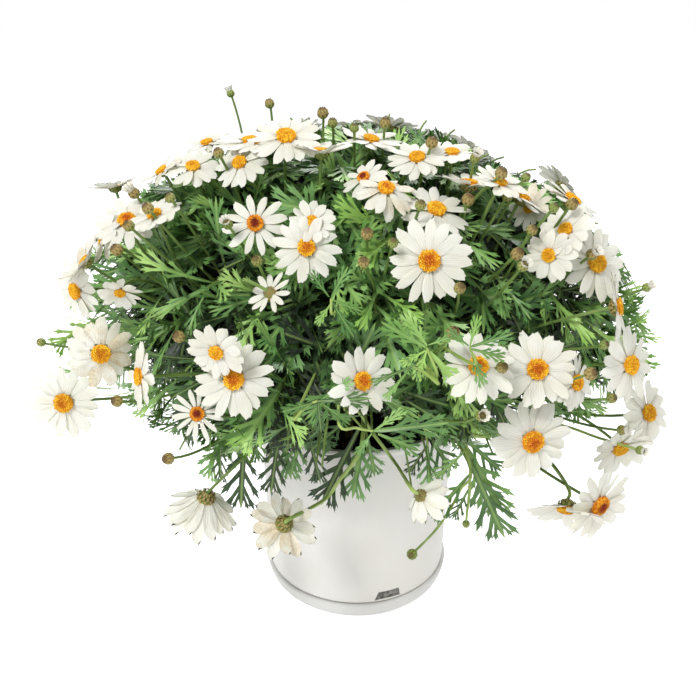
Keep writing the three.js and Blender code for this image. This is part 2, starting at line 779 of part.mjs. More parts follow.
function meshOf(solid, name, material, centre) {
  const shape = solid.getMesh();
  const geometry = new THREE.BufferGeometry();
  const corners = Float32Array.from(shape.vertProperties);
  geometry.setAttribute('position', new THREE.BufferAttribute(corners, 3));
  geometry.setIndex(new THREE.BufferAttribute(Uint32Array.from(shape.triVerts), 1));
  geometry.translate(-centre.x, -centre.y, -centre.z);
  geometry.computeVertexNormals();
  const mesh = new THREE.Mesh(geometry, material);
  mesh.name = name;
  mesh.position.copy(centre);
  return mesh;
}

function largestBody(solids) {
  const bodies = wasm.Manifold.union(solids).simplify(0.02).decompose();
  bodies.sort((one, other) => other.volume() - one.volume());
  return bodies[0];
}

// A closed tube through points, with its own radius at each, that doesn't twist on its way
function tube(points, radii, sides) {
  const positions = [];
  const triangles = [];
  const { across } = flowerAxes(points[1].clone().sub(points[0]).normalize());
  points.forEach((point, index) => {
    const before = points[Math.max(0, index - 1)];
    const after = points[Math.min(points.length - 1, index + 1)];
    const direction = after.clone().sub(before).normalize();
    across.addScaledVector(direction, -across.dot(direction)).normalize();
    const along = direction.cross(across);
    for (let side = 0; side < sides; side += 1) {
      const angle = side * 2 * Math.PI / sides;
      const corner = point.clone()
        .addScaledVector(across, Math.cos(angle) * radii[index])
        .addScaledVector(along, Math.sin(angle) * radii[index]);
      positions.push(corner.x, corner.y, corner.z);
    }
  });
  for (let ring = 0; ring + 1 < points.length; ring += 1) {
    for (let side = 0; side < sides; side += 1) {
      const a = ring * sides + side;
      const b = ring * sides + (side + 1) % sides;
      triangles.push(a, b, b + sides, a, b + sides, a + sides);
    }
  }
  const last = (points.length - 1) * sides;
  for (let side = 1; side + 1 < sides; side += 1) {
    triangles.push(0, side + 1, side);
    triangles.push(last, last + side, last + side + 1);
  }
  return solidFrom(positions, triangles);
}

// Petals, disc and underside of a flower in one closed skin, with fewer and wider petals
function flowerSolid(flower) {
  const positions = [];
  const triangles = [];
  const place = (angle, share, height) => {
    const point = onFlower(flower, angle, share, height);
    positions.push(point.x, point.y, point.z);
  };
  place(0, 0, -flower.back);
  place(0, 0, DOME_SHARE * flower.radius + 1);
  const { half, petals } = petalPlan(flower);
  petals.forEach(({ middle, reach, valley }) => {
    place(middle, DISC_SHARE, 1);
    place(middle - 0.5 * half, reach, topOf(flower, reach));
    place(middle + 0.5 * half, reach, topOf(flower, reach));
    place(valley, VALLEY_SHARE, topOf(flower, VALLEY_SHARE));
  });
  const count = petals.length;
  for (let petal = 0; petal < count; petal += 1) {
    const inner = 2 + 4 * petal;
    const before = 2 + 4 * ((petal + count - 1) % count) + 3;
    const next = 2 + 4 * ((petal + 1) % count);
    const [left, right, valley] = [inner + 1, inner + 2, inner + 3];
    triangles.push(inner, left, right, inner, before, left, inner, right, valley);
    triangles.push(inner, valley, next, inner, next, 1);
    triangles.push(0, right, left, 0, left, before, 0, valley, right);
  }
  return solidFrom(positions, triangles);
}

// A blade with pointed lobes: the outline is shared by both faces, the rib stands off it. A leaf
// that grows from the heart starts in a point deep inside it, one on a shoot starts at full width.
function leafSolid(leaf) {
  const positions = [];
  const triangles = [];
  const put = (along, across, above) => {
    const point = leafPoint(leaf, along, across, above);
    positions.push(point.x, point.y, point.z);
    return positions.length / 3 - 1;
  };
  const onShoot = leaf.pairs === 3;
  const lobes = onShoot
    ? [[0.4, 1, 0.42], [0.66, 0.95, 0.67], [0.88, 0.62, 0.86]]
    : [[0.56, 1, 0.6], [0.88, 0.7, 0.85]];
  const notchHalf = 2.2 / leaf.width;
  const start = onShoot ? null : put(0, 0, 0);
  const tip = put(1, 0, 0);
  const ribs = lobes.map((lobe) => lobe[2] - 0.03);
  const top = [start ?? put(0, 0, RIB_HALF), ...ribs.map((along) => put(along, 0, RIB_HALF))];
  const below = [start ?? put(0, 0, -RIB_HALF), ...ribs.map((along) => put(along, 0, -RIB_HALF))];
  for (const side of [1, -1]) {
    const outline = [start ?? put(0, side * 1.3 / leaf.width, 0)];
    const ribOf = [0];
    lobes.forEach(([along, across, notch], number) => {
      outline.push(put(along, side * across, 0), put(notch, side * notchHalf, 0));
      ribOf.push(number, number + 1);
    });
    outline.push(tip);
    ribOf.push(lobes.length);
    const face = (a, b, c, flip) => {
      if (a !== b && b !== c && a !== c) {
        triangles.push(...(flip === (side > 0) ? [a, b, c] : [a, c, b]));
      }
    };
    for (let step = 0; step + 1 < outline.length; step += 1) {
      const rib = ribOf[step];
      const nextRib = ribOf[step + 1];
      for (const [chain, flip] of [[top, true], [below, false]]) {
        face(chain[rib], outline[step], outline[step + 1], flip);
        if (nextRib !== rib) {
          face(chain[rib], outline[step + 1], chain[nextRib], flip);
        }
      }
    }
    face(top[0], below[0], outline[0], true);
  }
  return solidFrom(positions, triangles);
}

// A stalk swells into the cup under its flower, or into its bud
function stalkSolid(stalk) {
  const points = curvePoints(stalk.root, stalk.bend, stalk.end, 2);
  if (stalk.flower) {
    points.push(calyxTop(stalk.flower));
    return tube(points, [STALK_RADIUS, STALK_RADIUS, STALK_RADIUS, CALYX_RADIUS], STALK_SIDES);
  }
  const { centre, radius, open } = stalk.bud;
  const reach = radius * (open ? HALF_OPEN : 0.9);
  points.push(centre, centre.clone().addScaledVector(stalk.away, -reach));
  const radii = [BUD_STALK_RADIUS, BUD_STALK_RADIUS, BUD_STALK_RADIUS, radius, radius * 0.35];
  return tube(points, radii, STALK_SIDES);
}

// The dense heart of leaf tufts, every other corner drawn out into a tuft, cut into slices that
// stay clear of each other
function heartGeometry() {
  const ball = new THREE.SphereGeometry(1, HEART_SIDES, HEART_RINGS);
  ball.rotateX(Math.PI / 2);
  const position = ball.getAttribute('position');
  for (let index = 0; index < position.count; index += 1) {
    const [x, y, z] = [position.getX(index), position.getY(index), position.getZ(index)];
    const ring = Math.floor(index / (HEART_SIDES + 1));
    const pole = ring === 0 || ring === HEART_RINGS;
    const tuft = !pole && (index - ring * (HEART_SIDES + 1) + ring) % 2 === 0;
    const swell = (tuft ? TUFT_REACH : HOLLOW_REACH) + 0.05 * Math.sin(9 * x + 2) * Math.sin(8 * y + 1);
    position.setXYZ(
      index,
      HEART_CENTRE[0] + x * HEART_SIZE[0] * swell,
      HEART_CENTRE[1] + y * HEART_SIZE[1] * swell,
      HEART_CENTRE[2] + z * HEART_SIZE[2] * swell,
    );
  }
  return ball;
}

const heart = solidOf(heartGeometry());

function sliceSolid(branch) {
  const middle = branchMiddle(branch);
  const half = (middle - edges[branch]) * RAD;
  const apex = HEART_GAP / Math.sin(half);
  const corner = (radius, angle) => new THREE.Vector2(
    Math.cos(angle) * radius + apex * Math.cos(middle * RAD),
    Math.sin(angle) * radius + apex * Math.sin(middle * RAD),
  );
  const outline = new THREE.Shape([
    corner(0, 0),
    corner(420, middle * RAD - half),
    corner(420, middle * RAD + half),
  ]);
  return solidOf(new THREE.ExtrudeGeometry(outline, { depth: 400, bevelEnabled: false })
    .translate(0, 0, 150));
}

function stemPoints(branch) {
  const angle = branchMiddle(branch) * RAD;
  const at = (radius, z) => vec(Math.cos(angle) * radius, Math.sin(angle) * radius, z);
  return [at(STEM_RING, HOLE_BOTTOM + SEAT_GAP), at(STEM_RING, 202), at(STEM_RING + 26, 262)];
}

const shoots = SHOOTS.map(planShoot);

function branchSolid(branch) {
  const own = stalks.filter((stalk) => stalk.branch === branch);
  const leaves = heartLeaves(branch);
  const solids = [
    heart.intersect(sliceSolid(branch)),
    tube(stemPoints(branch), [STEM_RADIUS, STEM_RADIUS, STEM_RADIUS], STEM_SIDES),
    ...own.map(stalkSolid),
  ];
  shoots.filter((shoot) => shoot.branch === branch).forEach((shoot) => {
    solids.push(tube(shoot.points, shoot.points.map(() => SHOOT_RADIUS), STALK_SIDES));
    leaves.push(...shoot.leaves);
  });
  return largestBody([...solids, ...leaves.map(leafSolid)]);
}

// Pot, saucer and potting mix
function turned(profile, sides) {
  return new THREE.LatheGeometry(profile.map(([x, y]) => new THREE.Vector2(x, y)), sides)
    .rotateX(Math.PI / 2);
}

function wallRadius(z) {
  const share = (z - POT_SKIRT_Z) / (RIM_FOOT_Z - POT_SKIRT_Z);
  return POT_SKIRT_RADIUS + (POT_TOP_RADIUS - POT_SKIRT_RADIUS) * share;
}

function slotBlock(width, height, bottom, from, to) {
  const block = new THREE.BufferGeometry();
  const half = width / 2;
  const lean = height * 0.42;
  const outline = new THREE.Shape([
    new THREE.Vector2(-half, 0), new THREE.Vector2(half, 0),
    new THREE.Vector2(half - lean * 0.4, height), new THREE.Vector2(-half + lean, height),
  ]);
  block.copy(new THREE.ExtrudeGeometry(outline, { depth: to - from, bevelEnabled: false }));
  block.rotateX(Math.PI / 2);
  block.translate(0, -from, bottom);
  block.rotateZ((SLOT_ANGLE + 90) * RAD);
  return solidOf(block);
}

function potSolid() {
  const inside = wallRadius(INSIDE_STEP_Z) - POT_WALL;
  const shell = turned([
    [0, POT_BASE_Z], [POT_BASE_RADIUS, POT_BASE_Z], [POT_BASE_RADIUS + 2.4, POT_SKIRT_Z],
    [POT_SKIRT_RADIUS, POT_SKIRT_Z], [POT_TOP_RADIUS, RIM_FOOT_Z], [RIM_RADIUS, RIM_FOOT_Z + 2],
    [RIM_RADIUS - 0.8, POT_TOP_Z], [wallRadius(POT_TOP_Z) - POT_WALL, POT_TOP_Z],
    [inside, INSIDE_STEP_Z], [POT_BASE_RADIUS - POT_WALL, POT_FLOOR_Z], [0, POT_FLOOR_Z],
  ], ROUND_SIDES);
  return solidOf(shell).subtract(slotBlock(
    SLOT_WIDTH, SLOT_HEIGHT, SLOT_BOTTOM, POT_SKIRT_RADIUS - SLOT_DEPTH, POT_SKIRT_RADIUS + 4,
  ));
}

function slotSolid() {
  return slotBlock(
    SLOT_WIDTH - 1, SLOT_HEIGHT - 0.8, SLOT_BOTTOM + 0.4,
    POT_SKIRT_RADIUS - SLOT_DEPTH + 0.3, POT_SKIRT_RADIUS - 0.5,
  );
}

function saucerSolid() {
  return solidOf(turned([
    [0, 0], [SAUCER_FOOT_RADIUS, 0], [SAUCER_FOOT_RADIUS + 6, 5], [SAUCER_RADIUS, 16],
    [SAUCER_RADIUS - 1.6, SAUCER_HEIGHT], [SAUCER_RADIUS - 4.8, SAUCER_HEIGHT],
    [SAUCER_FOOT_RADIUS + 2.5, SAUCER_FLOOR], [0, SAUCER_FLOOR],
  ], ROUND_SIDES));
}

function mixSolid() {
  const top = wallRadius(MIX_TOP) - POT_WALL - MIX_GAP;
  const foot = wallRadius(INSIDE_STEP_Z) - POT_WALL - MIX_GAP;
  const base = POT_BASE_RADIUS - POT_WALL - MIX_GAP;
  let mix = solidOf(turned([
    [0, POT_FLOOR_Z + SEAT_GAP], [base, POT_FLOOR_Z + SEAT_GAP], [foot, INSIDE_STEP_Z],
    [top, MIX_TOP], [0, MIX_TOP + 3],
  ], ROUND_SIDES));
  for (let branch = 0; branch < BRANCHES; branch += 1) {
    const angle = branchMiddle(branch) * RAD;
    const [x, y] = [Math.cos(angle) * STEM_RING, Math.sin(angle) * STEM_RING];
    const length = [vec(x, y, HOLE_BOTTOM), vec(x, y, MIX_TOP + 20)];
    mix = mix.subtract(tube(length, [HOLE_RADIUS, HOLE_RADIUS], STEM_SIDES));
  }
  return mix;
}

// Materials
const paint = (color, roughness) =>
  new THREE.MeshStandardMaterial({ color, roughness, metalness: 0 });
const potPlastic = paint(0xeeeeea, 0.45);
const saucerPlastic = paint(0xe9e9e7, 0.4);
const slotPlastic = paint(0x6a6c6a, 0.6);
const pottingMix = paint(0x1d1714, 0.95);
const foliage = paint(0x4f8a3f, 0.6);
const petalWhite = paint(0xf8f6ee, 0.55);

// The whole plant in its pot
const group = new THREE.Group();
const origin = vec(0, 0, 0);
group.add(meshOf(saucerSolid(), 'saucer', saucerPlastic, origin));
group.add(meshOf(potSolid(), 'pot', potPlastic, origin));
group.add(meshOf(slotSolid(), 'water_slot', slotPlastic, origin));
group.add(meshOf(mixSolid(), 'potting_mix', pottingMix, origin));
for (let branch = 0; branch < BRANCHES; branch += 1) {
  group.add(meshOf(branchSolid(branch), `leafy_branch_${branch + 1}`, foliage, origin));
}
flowers.forEach((flower) => {
  const mates = flowers.filter((other) => flower.bunch && other.bunch === flower.bunch);
  if (mates.length > 0 && mates[0] !== flower) {
    return;
  }
  const solids = mates.length > 0 ? mates.map(flowerSolid) : [flowerSolid(flower)];
  const name = `${mates.length > 0 ? 'bunch' : 'bloom'}_${String(flower.key).padStart(2, '0')}`;
  group.add(meshOf(largestBody(solids), name, petalWhite, flower.centre));
});

export default group;
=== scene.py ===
# Marguerite daisy in a white plastic pot that stands in its saucer.
# Metres, +Z up, origin at the centre of the saucer's underside, the viewer at -Y.
import math

import bpy
import numpy as np
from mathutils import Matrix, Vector


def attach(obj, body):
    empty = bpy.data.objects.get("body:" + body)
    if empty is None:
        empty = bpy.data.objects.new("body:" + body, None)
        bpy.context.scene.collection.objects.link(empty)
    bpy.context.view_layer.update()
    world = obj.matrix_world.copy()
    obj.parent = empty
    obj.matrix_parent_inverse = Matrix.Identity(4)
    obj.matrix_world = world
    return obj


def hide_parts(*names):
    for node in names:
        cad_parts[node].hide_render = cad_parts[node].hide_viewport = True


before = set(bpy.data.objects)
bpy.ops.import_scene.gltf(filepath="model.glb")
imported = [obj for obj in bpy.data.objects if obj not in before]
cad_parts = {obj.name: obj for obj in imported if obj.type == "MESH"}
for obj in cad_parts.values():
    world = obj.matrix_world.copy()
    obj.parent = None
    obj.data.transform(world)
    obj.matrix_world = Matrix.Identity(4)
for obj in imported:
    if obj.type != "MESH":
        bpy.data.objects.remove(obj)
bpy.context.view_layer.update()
MM = 0.001
UP = np.array((0.0, 0.0, 1.0))

# Saucer and pot, as turned profiles in millimetres
SAUCER_PROFILE = [
    (0, 0.4), (80, 0.4), (84, 0), (87, 0), (89.5, 1.2), (93.4, 5.5), (95.6, 11), (96.6, 15.2),
    (97, 17.4), (96.9, 18.9), (96.2, 19.8), (95, 20), (93.6, 20), (92.6, 19.5), (91.9, 18.2),
    (91, 12), (89.6, 5), (87.6, 3), (84, 2.6), (0, 2.6),
]
POT_PROFILE = [
    (0, 2.9), (85.5, 2.9), (87.6, 3.6), (88.4, 5.5), (90.1, 19.2), (90.9, 20.3), (93.2, 20.4),
    (93.9, 21.2), (94.15, 26), (95.2, 70), (96.4, 120), (97.5, 168), (98, 188.6), (98.5, 190.4),
    (99.5, 191.2), (100, 192.2), (100, 195), (99.6, 196.4), (98.4, 197), (96.6, 197),
    (95.5, 196.4), (95.1, 195), (94.9, 188), (93.2, 120), (91.2, 26), (86, 8.6), (83, 6.2), (0, 6),
]
ROUND_STEPS = 128
SMOOTH_WALL = 38

# Water slot: a leaning four-sided recess with a framed grey plate, its width along the wall
SLOT_ANGLE = math.radians(-71)
SLOT_WIDTH = 0.027
SLOT_HEIGHT = 0.0095
SLOT_BOTTOM = 0.023
SLOT_WALL = 0.094
SLOT_DEPTH = 0.0018
SLOT_LEAN = 0.04
SLOT_TOP_SHARE = 0.8
PLATE_BACK = 0.35
FRAME_WIDTH = 0.0009
FRAME_STEP = 0.0002
FRAME_DEPTH = 0.0007
PLATE_CUTS = 9

# Potting mix and stems
MIX_TOP = 0.183
MIX_RADIUS = 0.0943
STEM_RING = 0.046
STEM_RADIUS = 0.0052
BRANCHES = 7
FIRST_EDGE = -126

# The surface of the mix, as shares of its radius, with its crumbs: how many, least and most size
SOIL_RINGS = (0.08, 0.2, 0.32, 0.44, 0.56, 0.68, 0.8, 0.9, 1.0)
SOIL_EDGE = 0.012
SOIL_SIDES = 48
CRUMB_SEED = 31
CRUMB_SIZES = ((900, 0.0014, 0.0036), (260, 0.003, 0.0075))

# Canopy that the flowers lie on, and the dense heart that the shoots leave
CANOPY_CENTRE = np.array((0, 0, 0.310))
CANOPY_SIZE = np.array((0.290, 0.255, 0.188))
HEART_CENTRE = np.array((0, 0, 0.318))
HEART_SIZE = np.array((0.150, 0.132, 0.084))

# Viewpoint of the picture that the flowers' places are measured from
EYE = np.array((-0.009, -0.700, 0.552))
EYE_PITCH = math.radians(22.9)
FOCAL = 770
MIDDLE = 348
FORWARD = np.array((0, math.cos(EYE_PITCH), -math.sin(EYE_PITCH)))
RIGHT = np.array((1.0, 0, 0))
UPWARD = np.array((0, math.sin(EYE_PITCH), math.cos(EYE_PITCH)))

# A flower: how its disc and its cupped back lie, and the petals that are added to the number in
# the table, by flower or else for all whose petals are wide
DISC_SHARE = 0.27
DOME_EDGE = 0.05
DOME_RISE = 0.12
FLOWER_BACK = 0.004
CUPPED_BACK = 0.45
FULLER = {11: 3, 12: 3, 14: 3, 15: 3, 36: 2, 38: 2, 43: 3, 45: 4, 46: 4, 47: 5}
SLIM_FLOWER = 0.86
EXTRA_PETALS = 3

# How far a flower or bud may slide from its first place, the nearest first: in millimetres along
# the line of sight, and on the far side as turns round the canopy
SLIDE_STEP = 3
SLIDE_LIMIT = 133
SLIDES = [0] + [
    sign * step for step in range(SLIDE_STEP, SLIDE_LIMIT, SLIDE_STEP) for sign in (1, -1)
]

# Flowers: picture across, picture down, radius, facing right, facing up, petals, lift, bunch,
# then disc colour (0 yellow, 1 orange, 2 red-brown), wilt from 0 to 1 and petal width
FLOWERS = [
    (127, 221, 36, 0.0, 0.6, 12, 0.02, "a", 1.3, 0.1, 1.0),
    (155, 215, 30, -0.3, 0.7, 10, 0.1, "", 0.6, 0.05, 1.0),
    (115, 187, 24, -0.2, 0.95, 10, 0.35, "", 0.3, 0.1, 1.0),
    (193, 167, 28, 0.0, 0.6, 11, 0.05, "b", 0.7, 0.0, 1.0),
    (162, 171, 25, -0.5, 0.7, 10, 0.2, "b", 0.4, 0.3, 1.0),
    (240, 163, 30, -0.3, 0.4, 11, 0.0, "c", 0.5, 0.0, 1.0),
    (252, 142, 38, 0.0, 0.85, 12, 0.1, "c", 0.4, 0.0, 1.0),
    (286, 137, 38, 0.05, 0.6, 13, 0.02, "d", 0.3, 0.0, 1.0),
    (207, 143, 25, -0.2, 0.8, 10, 0.15, "", 0.3, 0.25, 1.0),
    (104, 239, 28, -0.8, 0.3, 10, 0.1, "a", 0.4, 0.3, 1.0),
    (85, 262, 26, -0.7, 0.5, 9, 0.45, "e", 0.4, 0.35, 1.0),
    (76, 291, 32, -0.6, -0.3, 11, 0.05, "e", 0.4, 0.1, 1.0),
    (120, 292, 22, 0.1, -0.8, 9, 0.3, "", 0.3, 0.1, 1.0),
    (100.7, 353.5, 38, 0.4, -0.2, 11, -0.15, "", 0.8, 0.45, 1.0),
    (64, 402.6, 38, 0.0, -0.25, 12, 0.0, "", 0.9, 0.0, 1.0),
    (140, 376.6, 35, -0.85, 0.0, 11, 0.1, "", 0.5, 0.1, 1.0),
    (216.5, 352, 30, -0.2, -0.5, 10, 0.2, "", 0.6, 0.1, 1.0),
    (234, 379.4, 43, 0.0, 0.0, 13, 0.0, "", 1.0, 0.0, 1.05),
    (197.5, 413.8, 29, 0.0, 0.1, 14, 0.0, "", 2.0, 0.1, 0.62),
    (270, 293, 24, 0.45, -0.4, 11, 0.1, "away", 0.5, 0.15, 0.75),
    (306.6, 247.5, 36, 0.0, 0.0, 12, 0.0, "f", 1.0, 0.0, 0.95),
    (312, 222, 25, 0.0, 0.4, 10, 0.15, "f", 0.4, 0.0, 1.0),
    (255.4, 223.6, 33, 0.0, 0.1, 12, 0.0, "", 2.0, 0.0, 0.72),
    (364, 178, 26, -0.4, 0.5, 11, 0.0, "g", 2.0, 0.0, 0.85),
    (386, 189, 33, 0.1, 0.6, 11, -0.15, "g", 0.9, 0.4, 0.95),
    (417, 158, 32, -0.1, 0.65, 12, 0.05, "i", 0.6, 0.0, 1.0),
    (436, 210, 38, 0.2, 0.6, 12, 0.05, "", 0.5, 0.0, 1.0),
    (429, 261, 44, 0.0, 0.0, 13, 0.0, "", 1.1, 0.0, 1.0),
    (469, 184, 34, 0.1, 0.93, 11, 0.25, "", 0.3, 0.0, 1.0),
    (452, 153, 28, 0.0, 0.8, 10, 0.15, "i", 0.3, 0.1, 1.0),
    (521.7, 197.7, 36, 0.5, 0.8, 11, 0.1, "j", 0.4, 0.0, 1.0),
    (572, 200, 34, 0.5, 0.7, 11, 0.1, "", 0.3, 0.05, 1.0),
    (530, 208, 25, -0.6, 0.2, 9, 0.3, "j", 0.5, 0.4, 0.9),
    (549, 255, 28, -0.5, -0.2, 10, 0.05, "p", 0.7, 0.0, 1.0),
    (566, 230, 28, -0.6, 0.35, 10, 0.05, "p", 0.4, 0.0, 1.0),
    (596, 263, 40, 0.4, 0.1, 12, 0.0, "", 0.5, 0.0, 1.0),
    (617.5, 307, 34, 0.9, 0.1, 11, 0.1, "", 0.5, 0.0, 1.0),
    (630, 365, 38, 0.5, 0.0, 12, 0.0, "", 0.5, 0.0, 1.0),
    (537.5, 369.4, 42, -0.15, 0.1, 13, -0.05, "l", 1.2, 0.05, 1.05),
    (576, 382.5, 32, 0.6, 0.0, 11, 0.0, "l", 0.8, 0.1, 1.0),
    (478, 367, 40, 0.0, 0.4, 12, 0.0, "", 1.0, 0.0, 1.0),
    (532.4, 441, 44, 0.15, -0.25, 12, 0.0, "", 1.4, 0.05, 1.0),
    (648, 413, 34, 0.5, 0.1, 11, 0.0, "m", 0.6, 0.05, 1.0),
    (620, 448, 32, 0.2, -0.6, 11, 0.3, "m", 0.5, 0.1, 1.0),
    (599, 505, 42, 0.5, -0.4, 13, 0.1, "n", 1.8, 0.1, 0.9),
    (567, 508, 38, -0.2, -0.9, 11, 0.4, "n", 0.5, 0.15, 0.9),
    (206, 498, 36, -0.3, -0.8, 12, 0.9, "away", 0.5, 0.15, 0.95),
    (284, 524, 34, -0.35, -0.45, 10, 0.35, "away", 0.8, 0.5, 1.0),
    (421, 496, 25, 0.6, -0.55, 9, 0.8, "away", 0.9, 0.2, 0.8),
    (321, 152, 30, 0.0, 0.95, 10, 0.35, "d", 0.3, 0.0, 1.0),
    (371, 140, 32, 0.2, 0.8, 11, 0.15, "", 0.4, 0.0, 1.0),
    (500, 183, 26, 0.3, 0.7, 10, 0.15, "", 0.4, 0.0, 1.0),
    (362, 381, 38, 0.45, 0.05, 11, 0.12, "", 1.2, 0.05, 0.9),
]

# Pairs of flowers on the side away from the viewer
REAR_PAIRS = 9
REAR_FIRST = 53
REAR_RADIUS = 27
REAR_GROWTH = 2
REAR_LIFT = 0.15
REAR_UPWARD = 0.25
REAR_SEED = 3000
REAR_SPACING = 1.62
REAR_HIGHEST = 0.86
REAR_FALL = 1.0
REAR_ARC = 110
REAR_WIDEN = 8
REAR_DEPTH = 0.98
REAR_SINK = 0.14
REAR_SLIDE_TURN = 0.5
MATE_FIRST_TURN = 222
MATE_PAIR_TURN = 17
MATE_SLIDE_TURN = 8
MATE_REACH_STEP = 0.08
MATE_DEPTH_STEP = 0.012
GOLDEN_ANGLE = 137.508

# Buds: picture across, picture down, 1 where the petals already show
BUDS = [
    (230.5, 93.2, 1), (269.5, 103.4, 0), (322.8, 112.8, 0), (332.6, 122.6, 0), (385.2, 122.6, 0),
    (354.3, 127.8, 0), (218.5, 152.8, 0), (133.7, 192.8, 1), (170, 197.7, 0), (147.7, 208.2, 0),
    (227.7, 224.3, 1), (128.7, 225.7, 0), (116.8, 249.6, 0), (256.8, 260.8, 0), (367, 233.5, 0),
    (393, 242.6, 0), (363.5, 262.2, 0), (432, 142.3, 0), (475.4, 157.7, 1), (501.4, 173, 0),
    (526, 177.3, 0), (507.7, 195.6, 0), (468.4, 199, 0), (420.5, 205, 0), (572.2, 204, 0),
    (554, 207.5, 0), (532, 230, 0), (517.5, 253.8, 0), (523, 266, 1), (592.2, 254.4, 1),
    (647, 287.3, 1), (460, 288, 0), (453, 332.4, 0), (41, 342.3, 0), (178.6, 336.6, 0),
    (604.2, 344.9, 0), (502.4, 367.3, 0), (590.8, 373.6, 0), (611.9, 398.2, 0), (116.8, 401.2, 0),
    (640, 450.2, 1), (622, 430, 1), (168, 458.7, 0), (481, 416, 1), (411.9, 554.4, 0),
]
BUD_RADIUS = 0.0046
BUD_SHARE = 0.87
BUD_SINK = 0.012
BUD_SPACING = 0.016
BUD_CLEARANCE = 0.0016
BUD_UPWARD = 0.6
BUD_KEYS = 200
HALF_OPEN = 1.35
TIP_COUNT = 9

# Shoots that hang over the rim: millimetres in front of the axis, the stem's picture points from
# the root outwards, and the leaves as root and tip picture points
SHOOTS = [
    (124, [(330, 392), (352, 416), (365, 431)],
     [(360, 427, 318, 508), (364, 431, 352, 503), (366, 432, 377, 480), (352, 416, 309, 452)]),
    (120, [(292, 396), (303, 414), (308, 430)],
     [(308, 428, 319, 487), (305, 420, 290, 478), (304, 416, 334, 452)]),
    (112, [(265, 396), (252, 414), (245, 432)],
     [(246, 430, 237, 513), (250, 418, 259, 466), (254, 412, 226, 452)]),
    (104, [(236, 396), (226, 418), (219, 440)],
     [(220, 436, 219, 485), (223, 424, 206, 484), (228, 412, 190, 440)]),
    (118, [(282, 398), (279, 416), (280, 436)],
     [(280, 432, 268, 497), (280, 420, 291, 484), (280, 410, 256, 444)]),
    (138, [(424, 398), (444, 421), (462, 436), (470, 462), (469, 490), (467, 516)],
     [(469, 458, 505, 544), (466, 446, 506, 518), (460, 435, 506, 474), (470, 474, 430, 520),
      (469, 488, 452, 522), (466, 450, 434, 482)]),
    (126, [(408, 396), (422, 420), (428, 446)],
     [(428, 444, 408, 475), (427, 440, 430, 492), (424, 428, 455, 474), (420, 414, 392, 446)]),
]
# Shoots closer to the axis than OUTER_FRONT get the darker leaf tone: painted shade under the
# canopy
OUTER_FRONT = 130
SHADED_SHOOT_TONE = 0.32
OUTER_TONE = 0.46
HANGING_BUD = (466, 524)
HANGING_FRONT = 138
HANGING_KEY = 260
HANGING_SHARE = 0.85

# Sprays of large leaves that stand out in the picture: as shoots, then the leaves' tone and kind
SPRAYS = [
    (250, [(434, 374), (427, 348)],
     [(427, 348, 383, 324), (427, 349, 416, 383), (430, 352, 474, 402), (427, 346, 404, 314),
      (428, 345, 454, 336), (426, 350, 400, 366)], 0.85, 3),
    (262, [(468, 362), (470, 347)],
     [(470, 347, 512, 334), (470, 346, 478, 316), (471, 349, 508, 358), (471, 350, 484, 388),
      (469, 346, 448, 330)], 0.6, 3),
    (228, [(333, 314), (331, 299)],
     [(331, 300, 353, 338), (331, 303, 316, 326), (333, 300, 364, 312), (331, 298, 346, 268),
      (329, 297, 310, 272)], 0.6, 3),
    (254, [(436, 380), (424, 372), (413, 367)],
     [(413, 366, 370, 384), (411, 367, 383, 402), (414, 366, 398, 350), (416, 369, 420, 396)],
     0.45, 2),
    (258, [(296, 414), (306, 406), (317, 401)],
     [(317, 401, 370, 399), (320, 400, 352, 380), (322, 404, 352, 426), (316, 402, 282, 412),
      (318, 402, 321, 434)], 0.4, 3),
    (250, [(338, 418), (357, 428), (373, 431)],
     [(373, 431, 448, 424), (375, 430, 404, 410), (378, 434, 422, 452), (372, 433, 356, 456)],
     0.5, 3),
]

# Stalks that show in front of the foliage: flower or bud key, millimetres in front of the axis at
# the root, and picture points from the root outwards
SHOWN_STALKS = {
    49: (128, [(319, 401), (354, 408), (375, 436), (396, 464)]),
    48: (132, [(362, 443), (338, 482), (324, 500)]),
    244: (140, [(468, 462), (460, 490), (447, 514), (434, 532)]),
    240: (138, [(464, 433), (505, 426), (555, 424), (599, 438)]),
    46: (120, [(499, 430), (530, 444), (552, 464)]),
    42: (150, [(468, 430), (500, 434), (522, 440)]),
    HANGING_KEY: (HANGING_FRONT, [(463, 446), (470, 482), (467, 512)]),
}


# Places of flowers and buds, by the same rules as the solid model
def seeded(key):
    """A small random generator that gives the same numbers in the solid model."""
    state = [(key * 7919 + 104729) % 2147483647]

    def draw():
        state[0] = state[0] * 16807 % 2147483647
        return state[0] / 2147483647

    draw()
    draw()
    return draw


def unit(vector):
    return vector / np.linalg.norm(vector)


def on_skin(centre, size, direction, share):
    return centre + direction * share / np.linalg.norm(direction / size)


def sight(across, down):
    return FORWARD + RIGHT * (across - MIDDLE) / FOCAL + UPWARD * (MIDDLE - down) / FOCAL


def picture_of(points):
    """Picture places and depths of points, as (across, down, depth)."""
    offset = points - EYE
    depth = offset @ FORWARD
    across = MIDDLE + FOCAL * (offset @ RIGHT) / depth
    down = MIDDLE - FOCAL * (offset @ UPWARD) / depth
    return across, down, depth


def canopy_depth(line):
    """How far along a line of sight the canopy's near side lies."""
    start = (EYE - CANOPY_CENTRE) / CANOPY_SIZE
    along = line / CANOPY_SIZE
    a = along @ along
    b = start @ along
    c = start @ start - 1
    return (-b - math.sqrt(max(0, b * b - a * c))) / a


def on_front_plane(place, front):
    """The place behind a picture point that lies so many millimetres in front of the axis."""
    line = sight(*place)
    return EYE + line * (-front * MM - EYE[1]) / line[1]


